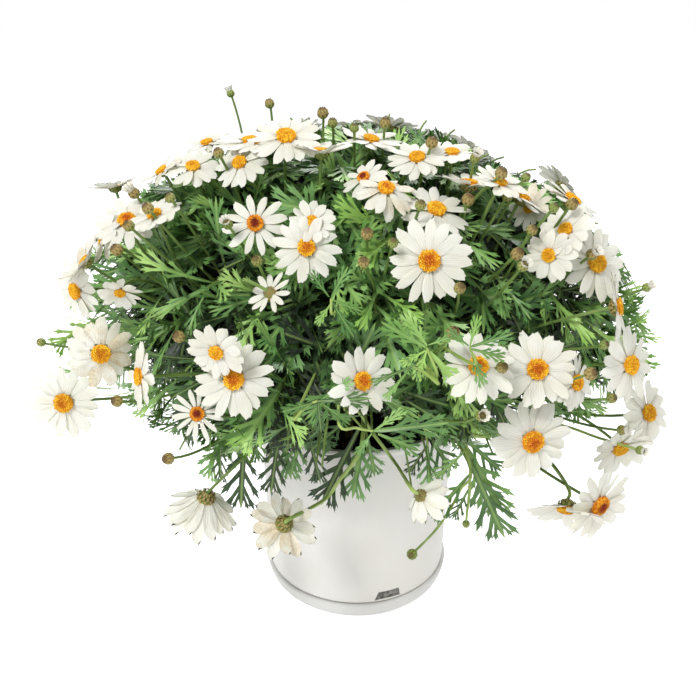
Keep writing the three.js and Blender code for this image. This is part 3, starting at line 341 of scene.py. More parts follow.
def flower_at(centre, normal, radius, lift, key, looks):
    helper = UP if abs(normal[2]) < 0.9 else RIGHT
    across = unit(np.cross(normal, helper))
    rise = lift * radius
    petals, disc, wilt, slim = looks
    return {
        "key": key, "centre": centre, "normal": normal, "radius": radius, "rise": rise,
        "back": FLOWER_BACK + CUPPED_BACK * max(0, rise),
        "across": across, "along": np.cross(normal, across),
        "petals": petals, "disc": disc, "wilt": wilt, "slim": slim,
    }


def seen_flower(row, key, slide):
    across, down, size, right, up, petals, lift, bunch, disc, wilt, slim = row
    line = sight(across, down)
    towards = math.sqrt(max(0, 1 - right * right - up * up))
    if bunch == "away":
        towards = -towards
    normal = unit(RIGHT * right + UPWARD * up - FORWARD * towards)
    depth = canopy_depth(line)
    centre = EYE + line * (depth + slide * MM)
    return flower_at(centre, normal, size * depth / FOCAL, lift, key, (petals, disc, wilt, slim))


def rear_flower(index, slide, first):
    """The first flower of a pair slides sideways over the canopy, the second goes round it."""
    pair = index // 2
    height = REAR_HIGHEST - REAR_FALL * (pair + 0.5) / REAR_PAIRS
    turn = (180 + pair * GOLDEN_ANGLE) % 360 / 360 - 0.5
    angle = math.radians(90 + (REAR_ARC + REAR_WIDEN * pair) * turn + REAR_SLIDE_TURN * slide)
    ring = math.sqrt(1 - height * height)
    direction = np.array((math.cos(angle) * ring, math.sin(angle) * ring, height))
    radius = (REAR_RADIUS + index % 3 * REAR_GROWTH) * MM
    share = REAR_DEPTH - REAR_SINK * max(0, height)
    if index % 2 == 1:
        outward = unit(first["centre"] - CANOPY_CENTRE)
        sideways = unit(np.cross(UP, outward))
        upslope = np.cross(outward, sideways)
        step = round(slide / SLIDE_STEP)
        lean = math.radians(MATE_FIRST_TURN + MATE_PAIR_TURN * pair + MATE_SLIDE_TURN * slide)
        reach = (REAR_SPACING - MATE_REACH_STEP * (abs(step) % 4)) * radius
        skin = first["centre"] + (sideways * math.cos(lean) + upslope * math.sin(lean)) * reach
        direction = unit(skin - CANOPY_CENTRE)
        share += MATE_DEPTH_STEP * (math.fmod(step, 3) - 1)
    normal = unit(direction + UP * REAR_UPWARD)
    centre = on_skin(CANOPY_CENTRE, CANOPY_SIZE, direction, share)
    draw = seeded(REAR_SEED + index)
    looks = (11 + index % 3, 0.3 + 1.2 * draw(), 0.25 * draw() ** 2, 0.9 + 0.15 * draw())
    lift = REAR_LIFT if index % 3 == 1 else 0
    return flower_at(centre, normal, radius, lift, REAR_FIRST + index, looks)


def bunch_names():
    """The node of each flower: bunches are named after the first flower of their letter."""
    first = {}
    names = []
    for index, row in enumerate(FLOWERS):
        letter = row[7] if row[7] != "away" else ""
        if letter:
            first.setdefault(letter, index + 1)
        names.append(f"bunch_{first[letter]:02d}" if letter else f"bloom_{index + 1:02d}")
    for pair in range(REAR_PAIRS):
        names += [f"bunch_{REAR_FIRST + 2 * pair:02d}"] * 2
    return names


def node_corners(name):
    """The corners of a node of the solid model."""
    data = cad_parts[name].data
    corners = np.empty(len(data.vertices) * 3)
    data.vertices.foreach_get("co", corners)
    return corners.reshape(-1, 3)


def find_flowers():
    """Each flower lies where its node has the lowest point of its underside."""
    flowers = []
    names = bunch_names()
    corners = {name: node_corners(name) for name in set(names)}
    for index, name in enumerate(names):
        least = None
        for slide in SLIDES:
            if index < len(FLOWERS):
                flower = seen_flower(FLOWERS[index], index + 1, slide)
            else:
                flower = rear_flower(index - len(FLOWERS), slide, flowers[-1])
            foot = flower["centre"] - flower["normal"] * flower["back"]
            miss = np.linalg.norm(corners[name] - foot, axis=1).min()
            if least is None or miss < least:
                least, found = miss, flower
        flowers.append({**found, "node": name})
    return flowers


flowers = find_flowers()
CENTRES = np.array([flower["centre"] for flower in flowers])
NORMALS = np.array([flower["normal"] for flower in flowers])
RADII = np.array([flower["radius"] for flower in flowers])
RISES = np.array([flower["rise"] for flower in flowers])
BACKS = np.array([flower["back"] for flower in flowers])


def in_flowers(points, margin):
    """For each point and each flower, whether the point lies in the flower's space."""
    offset = points[:, None, :] - CENTRES[None]
    height = np.einsum("pfk,fk->pf", offset, NORMALS)
    away = np.sqrt(np.maximum(0, (offset ** 2).sum(2) - height ** 2))
    share = np.minimum(1, away / RADII)
    dome = np.where(share < DISC_SHARE + DOME_EDGE, DOME_RISE * RADII, 0)
    top = RISES * np.maximum(0, (share - DISC_SHARE) / (1 - DISC_SHARE)) + dome
    under = RISES * share - BACKS * (1 - share)
    return (away <= RADII + margin) & (height < top + margin) & (height > under - margin)


def find_buds():
    """Each bud lies just under the canopy, where no flower or earlier bud is close."""
    buds = []
    for index, (across, down, opened) in enumerate(BUDS):
        line = sight(across, down)
        depth = canopy_depth(line) - BUD_SINK
        radius = BUD_RADIUS * (0.88 + 0.24 * (index * 7 % 5) / 4)
        centre = EYE + line * depth
        for slide in SLIDES:
            place = EYE + line * (depth + slide * MM)
            crowded = any(np.linalg.norm(bud["centre"] - place) < BUD_SPACING for bud in buds)
            room = radius * HALF_OPEN + BUD_CLEARANCE
            if not crowded and not in_flowers(place[None], room).any():
                centre = place
                break
        normal = unit(unit(centre - HEART_CENTRE) + UP * BUD_UPWARD)
        buds.append({
            "centre": centre, "radius": radius, "normal": normal, "open": opened,
            "key": BUD_KEYS + index,
        })
    return buds


buds = find_buds()
buds.append({
    "centre": on_front_plane(HANGING_BUD, HANGING_FRONT), "radius": BUD_RADIUS * HANGING_SHARE,
    "normal": -UP, "open": 0, "key": HANGING_KEY,
})


# Modelling by hand: selection by place, then edit-mode operators
TOUCH = 0.002
ON_ROW = 0.01


def deselect():
    bpy.ops.object.select_all(action="DESELECT")


def choose(thing):
    """Selects this object alone and makes it the active one."""
    deselect()
    thing.select_set(True)
    bpy.context.view_layer.objects.active = thing


def middle_of(data, item):
    """The middle of an edge or a face."""
    return sum((data.vertices[v].co for v in item.vertices), Vector()) / len(item.vertices)


def pick(thing, test, kind="VERT"):
    """Selects the corners, edges or faces whose middle passes the test and opens edit mode."""
    if bpy.context.mode != "OBJECT":
        bpy.ops.object.mode_set(mode="OBJECT")
    data = thing.data
    bpy.context.tool_settings.mesh_select_mode = tuple(kind == k for k in ("VERT", "EDGE", "FACE"))
    for items in (data.vertices, data.edges, data.polygons):
        items.foreach_set("select", [False] * len(items))
    if kind == "VERT":
        for corner in data.vertices:
            corner.select = test(corner.co)
    else:
        for item in data.edges if kind == "EDGE" else data.polygons:
            item.select = test(middle_of(data, item))
            if item.select:
                for v in item.vertices:
                    data.vertices[v].select = True
    bpy.ops.object.mode_set(mode="EDIT")


def near(place):
    """A test for pick: whether a middle lies at this place."""
    target = Vector(place)
    return lambda middle: (middle - target).length < TOUCH


def move(x, y, z=0.0):
    bpy.ops.transform.translate(value=(x, y, z))


def extrude(x, y, z=0.0):
    bpy.ops.mesh.extrude_region_move(TRANSFORM_OT_translate={"value": (x, y, z)})


def merge():
    bpy.ops.mesh.merge(type="CENTER")


def apply_place(thing):
    choose(thing)
    bpy.ops.object.transform_apply(location=True, rotation=True, scale=True)


def close_thin(thing, thickness, edge):
    """Gives a sheet an underside that shares its outline: edge tells the outline's places."""
    bpy.ops.object.mode_set(mode="EDIT")
    bpy.ops.mesh.select_all(action="SELECT")
    bpy.ops.mesh.duplicate()
    bpy.ops.mesh.flip_normals()
    bpy.ops.object.mode_set(mode="OBJECT")
    half = len(thing.data.vertices) // 2
    for index, corner in enumerate(thing.data.vertices):
        corner.select = index >= half and not edge(corner.co)
    bpy.context.tool_settings.mesh_select_mode = (True, False, False)
    bpy.ops.object.mode_set(mode="EDIT")
    move(0, 0, -thickness)
    bpy.ops.mesh.select_all(action="SELECT")
    bpy.ops.mesh.remove_doubles(threshold=0.0001)


def take(thing, place_of=None):
    """The corners and faces of a finished master, which then leaves the scene."""
    if bpy.context.mode != "OBJECT":
        bpy.ops.object.mode_set(mode="OBJECT")
    data = thing.data
    points = np.empty(len(data.vertices) * 3)
    data.vertices.foreach_get("co", points)
    points = points.reshape(-1, 3)
    corners = np.empty(len(data.loops), int)
    data.loops.foreach_get("vertex_index", corners)
    sizes = np.empty(len(data.polygons), int)
    data.polygons.foreach_get("loop_total", sizes)
    places = np.array([place_of(p) for p in points]) if place_of else points.copy()
    bpy.data.objects.remove(thing)
    return {"points": points, "corners": corners, "sizes": sizes, "places": places}


def upright(master):
    """A master that stands along Z, laid so that grow points it along its axis."""
    x, y, z = master["points"].T
    return {**master, "points": np.c_[x, z, -y]}


# Masters: what repeats is modelled once, one long
PETAL_WIDTHS = [0.38, 0.58, 0.78, 0.92, 1.0, 0.96, 0.78, 0.4]
PETAL_TIP = [-0.07, -0.01, -0.035, 0.012, -0.06]
PETAL_FOLDS = [-0.035, 0.012, -0.012, 0.012, -0.035]
PETAL_ROWS = len(PETAL_WIDTHS) - 1
PETAL_COLUMNS = len(PETAL_TIP) - 1
PETAL_THICKNESS = 0.022
PETAL_FOOT = 0.08
PETAL_NOTCH = 0.08


def sheet(columns, rows):
    """A flat grid, one wide and one long, with the root of its middle at the origin."""
    deselect()
    bpy.ops.mesh.primitive_grid_add(
        x_subdivisions=columns, y_subdivisions=rows, size=1, location=(0, 0.5, 0)
    )
    flat = bpy.context.object
    apply_place(flat)
    return flat


def petal_master():
    """A petal with two folds along it, a notched tip and a closed underside."""
    petal = sheet(PETAL_COLUMNS, PETAL_ROWS)
    for column, (rise, reach) in enumerate(zip(PETAL_FOLDS, PETAL_TIP)):
        x = column / PETAL_COLUMNS - 0.5
        pick(petal, lambda p, x=x: abs(p.x - x) < ON_ROW and p.y > PETAL_FOOT)
        move(0, 0, rise)
        pick(petal, lambda p, x=x: abs(p.x - x) < ON_ROW and p.y > 1 - ON_ROW)
        move(0, reach)
    for row, width in enumerate(PETAL_WIDTHS):
        low = row / PETAL_ROWS - (PETAL_NOTCH if row == PETAL_ROWS else ON_ROW)
        pick(petal, lambda p, y=low, top=row / PETAL_ROWS + ON_ROW: y < p.y < top)
        bpy.ops.transform.resize(value=(width, 1, 1))
    rim = {round(width / 2, 3) for width in PETAL_WIDTHS}
    close_thin(
        petal, PETAL_THICKNESS,
        lambda p: p.y < ON_ROW or p.y > 0.9 or any(abs(abs(p.x) - r) < 0.0008 for r in rim),
    )
    return take(petal, lambda p: (p[0] * 2, p[1], 0))


# A lobe of a leaf, as shares of its reach and width
LOBE_NECK = 0.5
LOBE_BODY = 0.28
LOBE_POINT = 0.3
LOBE_SPREAD = 1.1
TOOTH_ROOT = 0.525
TOOTH_REACH = 0.62
TOOTHED_FROM = 0.16

# The rib of a leaf, as shares of its length, and the half width at which its finish ends
RIB_ROWS = 9
RIB_LENGTH = 0.86
RIB_TIP = 0.14
RIB_FOLD = 0.012
LOBE_UNEVEN = 0.06
LEAF_SIDE = 0.25


def lobe(leaf, start, lean, reach, width, teeth):
    """Draws one lobe out of a side edge of the rib, with a pointed end and, where asked, teeth."""
    side = 1 if start[0] > 0 else -1
    ahead = Vector((side * math.sin(lean), math.cos(lean), 0))
    across = Vector((math.cos(lean), -side * math.sin(lean), 0))
    pick(leaf, near(start), "EDGE")
    first = ahead * reach * LOBE_NECK
    extrude(*first)
    middle = Vector(start) + first
    turn_edge(leaf, middle, across, width)
    second = ahead * reach * LOBE_BODY
    pick(leaf, near(middle), "EDGE")
    extrude(*second)
    end = middle + second
    turn_edge(leaf, end, across, width * LOBE_SPREAD)
    pick(leaf, near(end), "EDGE")
    extrude(*(ahead * reach * LOBE_POINT))
    merge()
    for hand in (1, -1) if teeth else ():
        edge = (middle + end) / 2 + across * hand * width * TOOTH_ROOT
        pick(leaf, lambda p, e=edge: (p - e).length < 3 * TOUCH, "EDGE")
        extrude(*(across * hand * width * TOOTH_REACH + ahead * reach * LOBE_POINT))
        merge()


def turn_edge(leaf, middle, across, width):
    """Sets the two ends of the edge at a place squarely across the lobe."""
    bpy.ops.object.mode_set(mode="OBJECT")
    ends = [c for e in leaf.data.edges if e.select for c in e.vertices]
    corners = sorted((leaf.data.vertices[c] for c in set(ends)), key=lambda c: c.co.dot(across))
    for corner, hand in zip((corners[0], corners[-1]), (-0.5, 0.5)):
        corner.co = middle + across * hand * width
    bpy.ops.object.mode_set(mode="EDIT")


def leaf_master(lobes, rib):
    """A cut leaf: a folded rib in two columns and lobes that lean towards the tip.
    Each lobe is the row of the rib that it leaves, its lean in degrees, reach and width."""
    leaf = sheet(2, RIB_ROWS)
    for row in range(RIB_ROWS + 1):
        share = row / RIB_ROWS
        width = rib * (0.45 + 0.9 * share ** 0.5 - 0.45 * share ** 3)
        pick(leaf, lambda p, y=share: abs(p.y - y) < ON_ROW)
        bpy.ops.transform.resize(value=(width, RIB_LENGTH, 1))
        move(0, -RIB_TIP * share)
    for row, lean, reach, width in lobes:
        for hand in (1, -1):
            share = (row + 0.5) / RIB_ROWS
            bpy.ops.object.mode_set(mode="OBJECT")
            edges = [middle_of(leaf.data, edge) for edge in leaf.data.edges]
            wanted = Vector((hand * rib * 0.55, RIB_LENGTH * share, 0))
            start = min(edges, key=lambda p, w=wanted: (p - w).length)
            uneven = reach * (1 + LOBE_UNEVEN * hand)
            lobe(leaf, start, math.radians(lean), uneven, width, reach > TOOTHED_FROM)
    pick(leaf, lambda p: abs(p.x) < 0.001)
    move(0, 0, -RIB_FOLD)
    pick(leaf, lambda p: 0.84 < p.y < RIB_LENGTH + 0.001 and abs(p.x) < rib * 0.7)
    extrude(0, RIB_TIP)
    merge()
    return take(leaf, lambda p: (p[0] / LEAF_SIDE, p[1], 0))


def ring_shape(profile, sides, closed=True):
    """A turned shape, drawn ring by ring from a circle: the profile is (radius, height)."""
    deselect()
    radius, height = profile[0]
    bpy.ops.mesh.primitive_circle_add(vertices=sides, radius=radius, location=(0, 0, height))
    thing = bpy.context.object
    apply_place(thing)
    bpy.ops.object.mode_set(mode="EDIT")
    bpy.context.tool_settings.mesh_select_mode = (False, True, False)
    bpy.ops.mesh.select_all(action="SELECT")
    for next_radius, next_height in profile[1:]:
        extrude(0, 0, next_height - height)
        if next_radius == 0:
            merge()
            break
        share = next_radius / radius
        bpy.ops.transform.resize(value=(share, share, 1))
        radius, height = next_radius, next_height
    if closed and profile[-1][0] > 0:
        bpy.ops.mesh.edge_face_add()
    if closed:
        foot = profile[0][1]
        first = profile[0][0]
        pick(thing, lambda p: abs(p.z - foot) < 1e-6 and abs(p.xy.length - first) < first * 0.01)
        bpy.ops.mesh.edge_face_add()
    bpy.ops.mesh.select_all(action="SELECT")
    bpy.ops.mesh.normals_make_consistent(inside=False)
    bpy.ops.object.mode_set(mode="OBJECT")
    return thing


def turned_master(profile, sides):
    """An open turned shape, placed by its angle about the axis and its height."""
    shape = ring_shape(profile, sides, False)
    return upright(take(shape, lambda p: (math.atan2(p[1], p[0]) / math.pi, p[2], 0)))


def floret_master():
    """A tiny tube with five sides and a hollow end."""
    deselect()
    bpy.ops.mesh.primitive_cone_add(
        vertices=5, radius1=0.5, radius2=0.42, depth=0.7, end_fill_type="NGON",
        location=(0, 0, 0.35),
    )
    floret = bpy.context.object
    apply_place(floret)
    pick(floret, lambda p: p.z > 0.69, "FACE")
    bpy.ops.mesh.inset(thickness=0.17, depth=-0.16)
    pick(floret, lambda p: p.z < 0.01, "FACE")
    bpy.ops.mesh.delete(type="FACE")
    bpy.ops.object.mode_set(mode="OBJECT")
    return upright(take(floret, lambda p: (p[0], p[2], 0)))


def bract_master():
    """A small pointed scale that hugs what it grows on."""
    bract = sheet(2, 3)
    for row, width in enumerate((0.75, 1.0, 0.8, 0.22)):
        pick(bract, lambda p, y=row / 3: abs(p.y - y) < ON_ROW)
        bpy.ops.transform.resize(value=(width, 1, 1))
    pick(bract, lambda p: abs(p.x) < ON_ROW)
    move(0, 0, 0.12)
    return take(bract, lambda p: (p[0] * 2, p[1], 0))


def crumb_master(reach):
    """A lump of the potting mix, drawn out to one side by its reach."""
    deselect()
    bpy.ops.mesh.primitive_ico_sphere_add(subdivisions=1, radius=0.5, location=(0, 0, 0))
    crumb = bpy.context.object
    pick(crumb, lambda p: p.z > 0.1)
    move(0.12, -0.08, -0.1)
    pick(crumb, lambda p: p.x < -0.1)
    move(-reach, 0.05, 0.06)
    bpy.ops.object.mode_set(mode="OBJECT")
    return take(crumb)


# Copies of the masters
def grow(master, roots, alongs, ups, lengths, widths, bends=0.0, tones=0.5, cups=0.0, twists=0.0):
    """Each copy has its root, the way it points, its upper side, length and width, how far it
    bends down (radians), its tone, how much its sides lift and its twist."""
    count = len(roots)

    def column(value):
        return np.broadcast_to(np.asarray(value, float), count)[:, None]

    alongs = alongs / np.linalg.norm(alongs, axis=1)[:, None]
    sides = np.cross(alongs, ups)
    sides /= np.maximum(1e-9, np.linalg.norm(sides, axis=1))[:, None]
    ups = np.cross(sides, alongs)
    x, y, z = master["points"].T
    z = z + column(cups) * (x * 2) ** 2
    turn = column(twists) * y
    x, z = x * np.cos(turn) - z * np.sin(turn), x * np.sin(turn) + z * np.cos(turn)
    bend = column(bends)
    bend = np.where(np.abs(bend) < 1e-4, 1e-4, bend)
    length, width = column(lengths), column(widths)
    ahead = length * np.sin(bend * y) / bend + width * z * np.sin(bend * y)
    raised = length * (np.cos(bend * y) - 1) / bend + width * z * np.cos(bend * y)
    points = (
        roots[:, None] + ahead[..., None] * alongs[:, None] + raised[..., None] * ups[:, None]
        + (width * x)[..., None] * sides[:, None]
    )
    places = np.empty((count, len(master["points"]), 3))
    places[..., :2] = master["places"][None, :, :2]
    places[..., 2] = column(tones)
    corners = master["corners"][None] + np.arange(count)[:, None] * len(master["points"])
    return {
        "points": points.reshape(-1, 3), "corners": corners.ravel(),
        "sizes": np.tile(master["sizes"], count), "places": places.reshape(-1, 3),
    }


def make_piece(name, parts, nodes, angle=50):
    """One mesh from parts, each with its material; it rides on root and stands for its nodes."""
    mesh = bpy.data.meshes.new(name)
    parts = [part for part in parts if len(part[0]["points"])]
    counts = np.cumsum([0] + [len(part["points"]) for part, _ in parts])
    points = np.concatenate([part["points"] for part, _ in parts])
    corners = np.concatenate([part["corners"] + start for (part, _), start in zip(parts, counts)])
    sizes = np.concatenate([part["sizes"] for part, _ in parts])
    places = np.concatenate([part["places"] for part, _ in parts])
    finishes = list(dict.fromkeys(material for _, material in parts))
    which = np.concatenate([
        np.full(len(part["sizes"]), finishes.index(material)) for part, material in parts
    ])
    mesh.vertices.add(len(points))
    mesh.vertices.foreach_set("co", points.ravel())
    mesh.loops.add(len(corners))
    mesh.loops.foreach_set("vertex_index", corners)
    mesh.polygons.add(len(sizes))
    mesh.polygons.foreach_set("loop_start", np.cumsum(sizes) - sizes)
    mesh.polygons.foreach_set("material_index", which)
    for material in finishes:
        mesh.materials.append(material)
    mesh.update(calc_edges=True)
    layer = mesh.attributes.new("place", "FLOAT_VECTOR", "POINT")
    layer.data.foreach_set("vector", places.ravel())
    piece = bpy.data.objects.new(name, mesh)
    bpy.context.collection.objects.link(piece)
    keep(piece, nodes, angle)


def keep(piece, nodes, angle=None):
    """Smooths a piece up to an angle, ties it to root and hides the solid model's parts of its
    nodes.
    """
    if angle:
        choose(piece)
        bpy.ops.object.shade_smooth_by_angle(angle=math.radians(angle))
    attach(piece, "root")
    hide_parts(*nodes)


def tubes(lines, radii, resolution=1, tone=0.5):
    """Stalks along lines of points: one curve with a spline each, made a mesh."""
    curve = bpy.data.curves.new("stalk", "CURVE")
    curve.dimensions = "3D"
    curve.bevel_depth = 1.0
    curve.bevel_resolution = resolution
    curve.use_fill_caps = True
    for line, radius in zip(lines, radii):
        spline = curve.splines.new("POLY")
        spline.points.add(len(line) - 1)
        spline.points.foreach_set("co", np.c_[line, np.ones(len(line))].ravel())
        spline.points.foreach_set("radius", np.broadcast_to(radius, len(line)).astype(float))
    thing = bpy.data.objects.new("stalk", curve)
    bpy.context.collection.objects.link(thing)
    choose(thing)
    bpy.ops.object.convert(target="MESH")
    return take(bpy.context.object, lambda p: (0, 0.5, tone))


def arc(points, steps):
    """A smooth line through a few points, in even steps (Catmull-Rom)."""
    points = [np.asarray(p, float) for p in points]
    ends = [2 * points[0] - points[1]] + points + [2 * points[-1] - points[-2]]
    line = []
    for a, b, c, d in zip(ends, ends[1:], ends[2:], ends[3:]):
        for step in range(steps):
            t = step / steps
            line.append(0.5 * (
                2 * b + (c - a) * t + (2 * a - 5 * b + 4 * c - d) * t ** 2
                + (3 * b - a - 3 * c + d) * t ** 3
            ))
    line.append(points[-1])
    return np.array(line)


def bezier(a, b, c, d, steps):
    """A line from a to d that leaves towards b and arrives from c."""
    t = np.linspace(0, 1, steps + 1)[:, None]
    return a * (1 - t) ** 3 + 3 * b * t * (1 - t) ** 2 + 3 * c * t ** 2 * (1 - t) + d * t ** 3


# Materials
def variation_group():
    """Coarse and fine changes over a surface, from places in the object's own space."""
    group = bpy.data.node_groups.new("surface_variation", "ShaderNodeTree")
    for name in ("Coarse Scale", "Fine Scale"):
        group.interface.new_socket(name, in_out="INPUT", socket_type="NodeSocketFloat")
    for name in ("Coarse", "Fine"):
        group.interface.new_socket(name, in_out="OUTPUT", socket_type="NodeSocketFloat")
    inside = group.nodes.new("NodeGroupInput")
    outside = group.nodes.new("NodeGroupOutput")
    place = group.nodes.new("ShaderNodeTexCoord")
    for name, detail in (("Coarse", 2), ("Fine", 4)):
        noise = group.nodes.new("ShaderNodeTexNoise")
        noise.inputs["Detail"].default_value = detail
        group.links.new(place.outputs["Object"], noise.inputs["Vector"])
        group.links.new(inside.outputs[f"{name} Scale"], noise.inputs["Scale"])
        group.links.new(noise.outputs["Fac"], outside.inputs[name])
    return group


VARIATION = variation_group()


class Finish:
    """A procedural material, put together from small steps."""

    def __init__(self, name, coarse, fine, **settings):
        self.material = bpy.data.materials.new(name)
        self.material.use_nodes = True
        self.tree = self.material.node_tree
        self.shader = self.tree.nodes["Principled BSDF"]
        for socket, value in settings.items():
            self.shader.inputs[socket.replace("_", " ")].default_value = value
        group = self.tree.nodes.new("ShaderNodeGroup")
        group.node_tree = VARIATION
        group.inputs["Coarse Scale"].default_value = coarse
        group.inputs["Fine Scale"].default_value = fine
        self.coarse = group.outputs["Coarse"]
        self.fine = group.outputs["Fine"]

    def put(self, socket, value):
        if isinstance(value, bpy.types.NodeSocket):
            self.tree.links.new(value, socket)
        else:
            socket.default_value = value

    def place(self):
        """Where a point lies on its leaf, petal or floret: across, along and tone."""
        read = self.tree.nodes.new("ShaderNodeAttribute")
        read.attribute_name = "place"
        split = self.tree.nodes.new("ShaderNodeSeparateXYZ")
        self.tree.links.new(read.outputs["Vector"], split.inputs[0])
        return split.outputs

    def sum(self, kind, *values):
        node = self.tree.nodes.new("ShaderNodeMath")
        node.operation = kind
        for socket, value in zip(node.inputs, values):
            self.put(socket, value)
        return node.outputs[0]

    def span(self, value, low, high, first=0.0, last=1.0):
        node = self.tree.nodes.new("ShaderNodeMapRange")
        node.interpolation_type = "SMOOTHSTEP"
        limits = {"From Min": low, "From Max": high, "To Min": first, "To Max": last}
        for name, number in limits.items():
            node.inputs[name].default_value = number
        self.put(node.inputs["Value"], value)
        return node.outputs[0]

    def mix(self, share, first, second):
        node = self.tree.nodes.new("ShaderNodeMix")
        node.data_type = "RGBA"
        for index, value in ((0, share), (6, first), (7, second)):
            self.put(node.inputs[index], rgb(value) if isinstance(value, tuple) else value)
        return node.outputs[2]

    def patches(self, first, last, low=0.35, high=0.65):
        """Two colours in coarse patches."""
        return self.mix(self.span(self.coarse, low, high), first, last)

    def flecks(self, base, colour, low, high, share):
        """Fine flecks of a colour, as strong as the share."""
        return self.mix(self.span(self.fine, low, high, 0, share), base, colour)

    def colour(self, value):
        self.put(self.shader.inputs["Base Color"], value)

    def rough(self, low, high):
        self.put(self.shader.inputs["Roughness"], self.span(self.fine, 0.3, 0.7, low, high))

    def bump(self, height, strength, distance):
        node = self.tree.nodes.new("ShaderNodeBump")
        node.inputs["Strength"].default_value = strength
        node.inputs["Distance"].default_value = distance
        self.put(node.inputs["Height"], height)
        self.tree.links.new(node.outputs[0], self.shader.inputs["Normal"])
        return self.material


def rgb(colour):
    """A screen colour, 0 to 255, as the linear colour of a shader socket."""
    shares = [c / 255 for c in colour]
    return (*[s / 12.92 if s <= 0.04045 else ((s + 0.055) / 1.055) ** 2.4 for s in shares], 1)


def plastic_finish(name, light, shade, low, high, coarse=9):
    finish = Finish(name, coarse, 900, Specular_IOR_Level=0.45)
    finish.colour(finish.patches(light, shade, 0.3, 0.7))
    finish.rough(low, high)
    return finish.bump(finish.fine, 0.04, 0.0004)


def mix_finish():
    finish = Finish("potting_mix_finish", 60, 420, Specular_IOR_Level=0.25)
    damp = finish.patches((34, 27, 22), (62, 48, 38))
    finish.colour(finish.flecks(damp, (104, 84, 66), 0.58, 0.7, 0.6))
    finish.rough(0.75, 0.95)
    return finish.bump(finish.fine, 0.8, 0.0012)


def leaf_finish():
    """Leaves run from near-black inside the plant, mostly painted shade, through green to fresh
    green at the tips, with a light rib.
    """
    finish = Finish("leaf_finish", 34, 420, Specular_IOR_Level=0.38)
    across, _, tone = finish.place()
    # Near-black for the lowest tones: partly leaves' own dark green, mostly painted shade inside
    # the plant
    dark_green_and_shade = finish.patches((6, 18, 5), (18, 36, 13))
    green = finish.patches((76, 122, 58), (120, 166, 92))
    fresh = finish.patches((150, 196, 92), (190, 226, 132))
    blade = finish.mix(finish.span(tone, 0.0, 0.5), dark_green_and_shade, green)
    blade = finish.mix(finish.span(tone, 0.45, 1.0), blade, fresh)
    blade = finish.flecks(blade, (98, 132, 84), 0.4, 0.75, 0.25)
    side = finish.sum("ABSOLUTE", across)
    rib = finish.span(side, 0.02, 0.1, 1, 0)
    finish.colour(finish.mix(finish.sum("MULTIPLY", rib, 0.45), blade, (162, 192, 106)))
    finish.rough(0.3, 0.46)
    height = finish.sum("ADD", finish.sum("MULTIPLY", finish.fine, 0.4), finish.span(side, 0, 0.2))
    return finish.bump(height, 0.5, 0.0008)


def inner_shade_finish():
    """Near-black green: painted shade for the inside of the plant."""
    finish = Finish("inner_leaf_shade_finish", 90, 260, Specular_IOR_Level=0.1)
    # Painted shade: near-black greens for the shaded inside of the plant
    finish.colour(finish.patches((7, 14, 7), (20, 38, 17)))
    finish.rough(0.8, 0.95)
    return finish.bump(finish.coarse, 1.0, 0.006)


def stalk_finish():
    """Stalks: the tone is 0 inside the plant, where a darker green paints shade, and 1 where they
    show in front, in a lighter green that paints light.
    """
    finish = Finish("stalk_finish", 26, 600, Specular_IOR_Level=0.35)
    tone = finish.place()[2]
    # Lit and shaded copies of one green: the darker one is painted shade, the lighter one painted
    # light
    shaded_inside = finish.patches((90, 118, 54), (122, 148, 76), 0.3, 0.7)
    shown = finish.patches((134, 162, 78), (168, 190, 108), 0.3, 0.7)
    green = finish.mix(tone, shaded_inside, shown)
    finish.colour(finish.flecks(green, (168, 150, 104), 0.5, 0.8, 0.25))
    finish.rough(0.42, 0.58)
    return finish.bump(finish.fine, 0.3, 0.0003)


def bark_finish():
    finish = Finish("bark_finish", 70, 520, Specular_IOR_Level=0.25)
    wood = finish.patches((96, 84, 52), (120, 112, 66), 0.3, 0.7)
    finish.colour(finish.flecks(wood, (70, 54, 36), 0.45, 0.75, 0.6))
    finish.rough(0.6, 0.85)
    return finish.bump(finish.fine, 0.6, 0.0008)


def scale_finish():
    """The scales of buds and calyces: green, with brown papery margins."""
    finish = Finish("scale_finish", 60, 500, Specular_IOR_Level=0.3)
    across, along, tone = finish.place()
    green = finish.patches((124, 146, 70), (150, 166, 92), 0.3, 0.7)
    green = finish.mix(finish.span(tone, 0.4, 1, 0, 0.6), green, (176, 134, 88))
    side = finish.span(finish.sum("ABSOLUTE", across), 0.5, 0.9)
    edge = finish.sum("MAXIMUM", side, finish.span(along, 0.66, 0.98))
    finish.colour(finish.mix(finish.sum("MULTIPLY", edge, 0.85), green, (92, 62, 42)))
    finish.rough(0.45, 0.65)
    return finish.bump(finish.fine, 0.3, 0.0003)


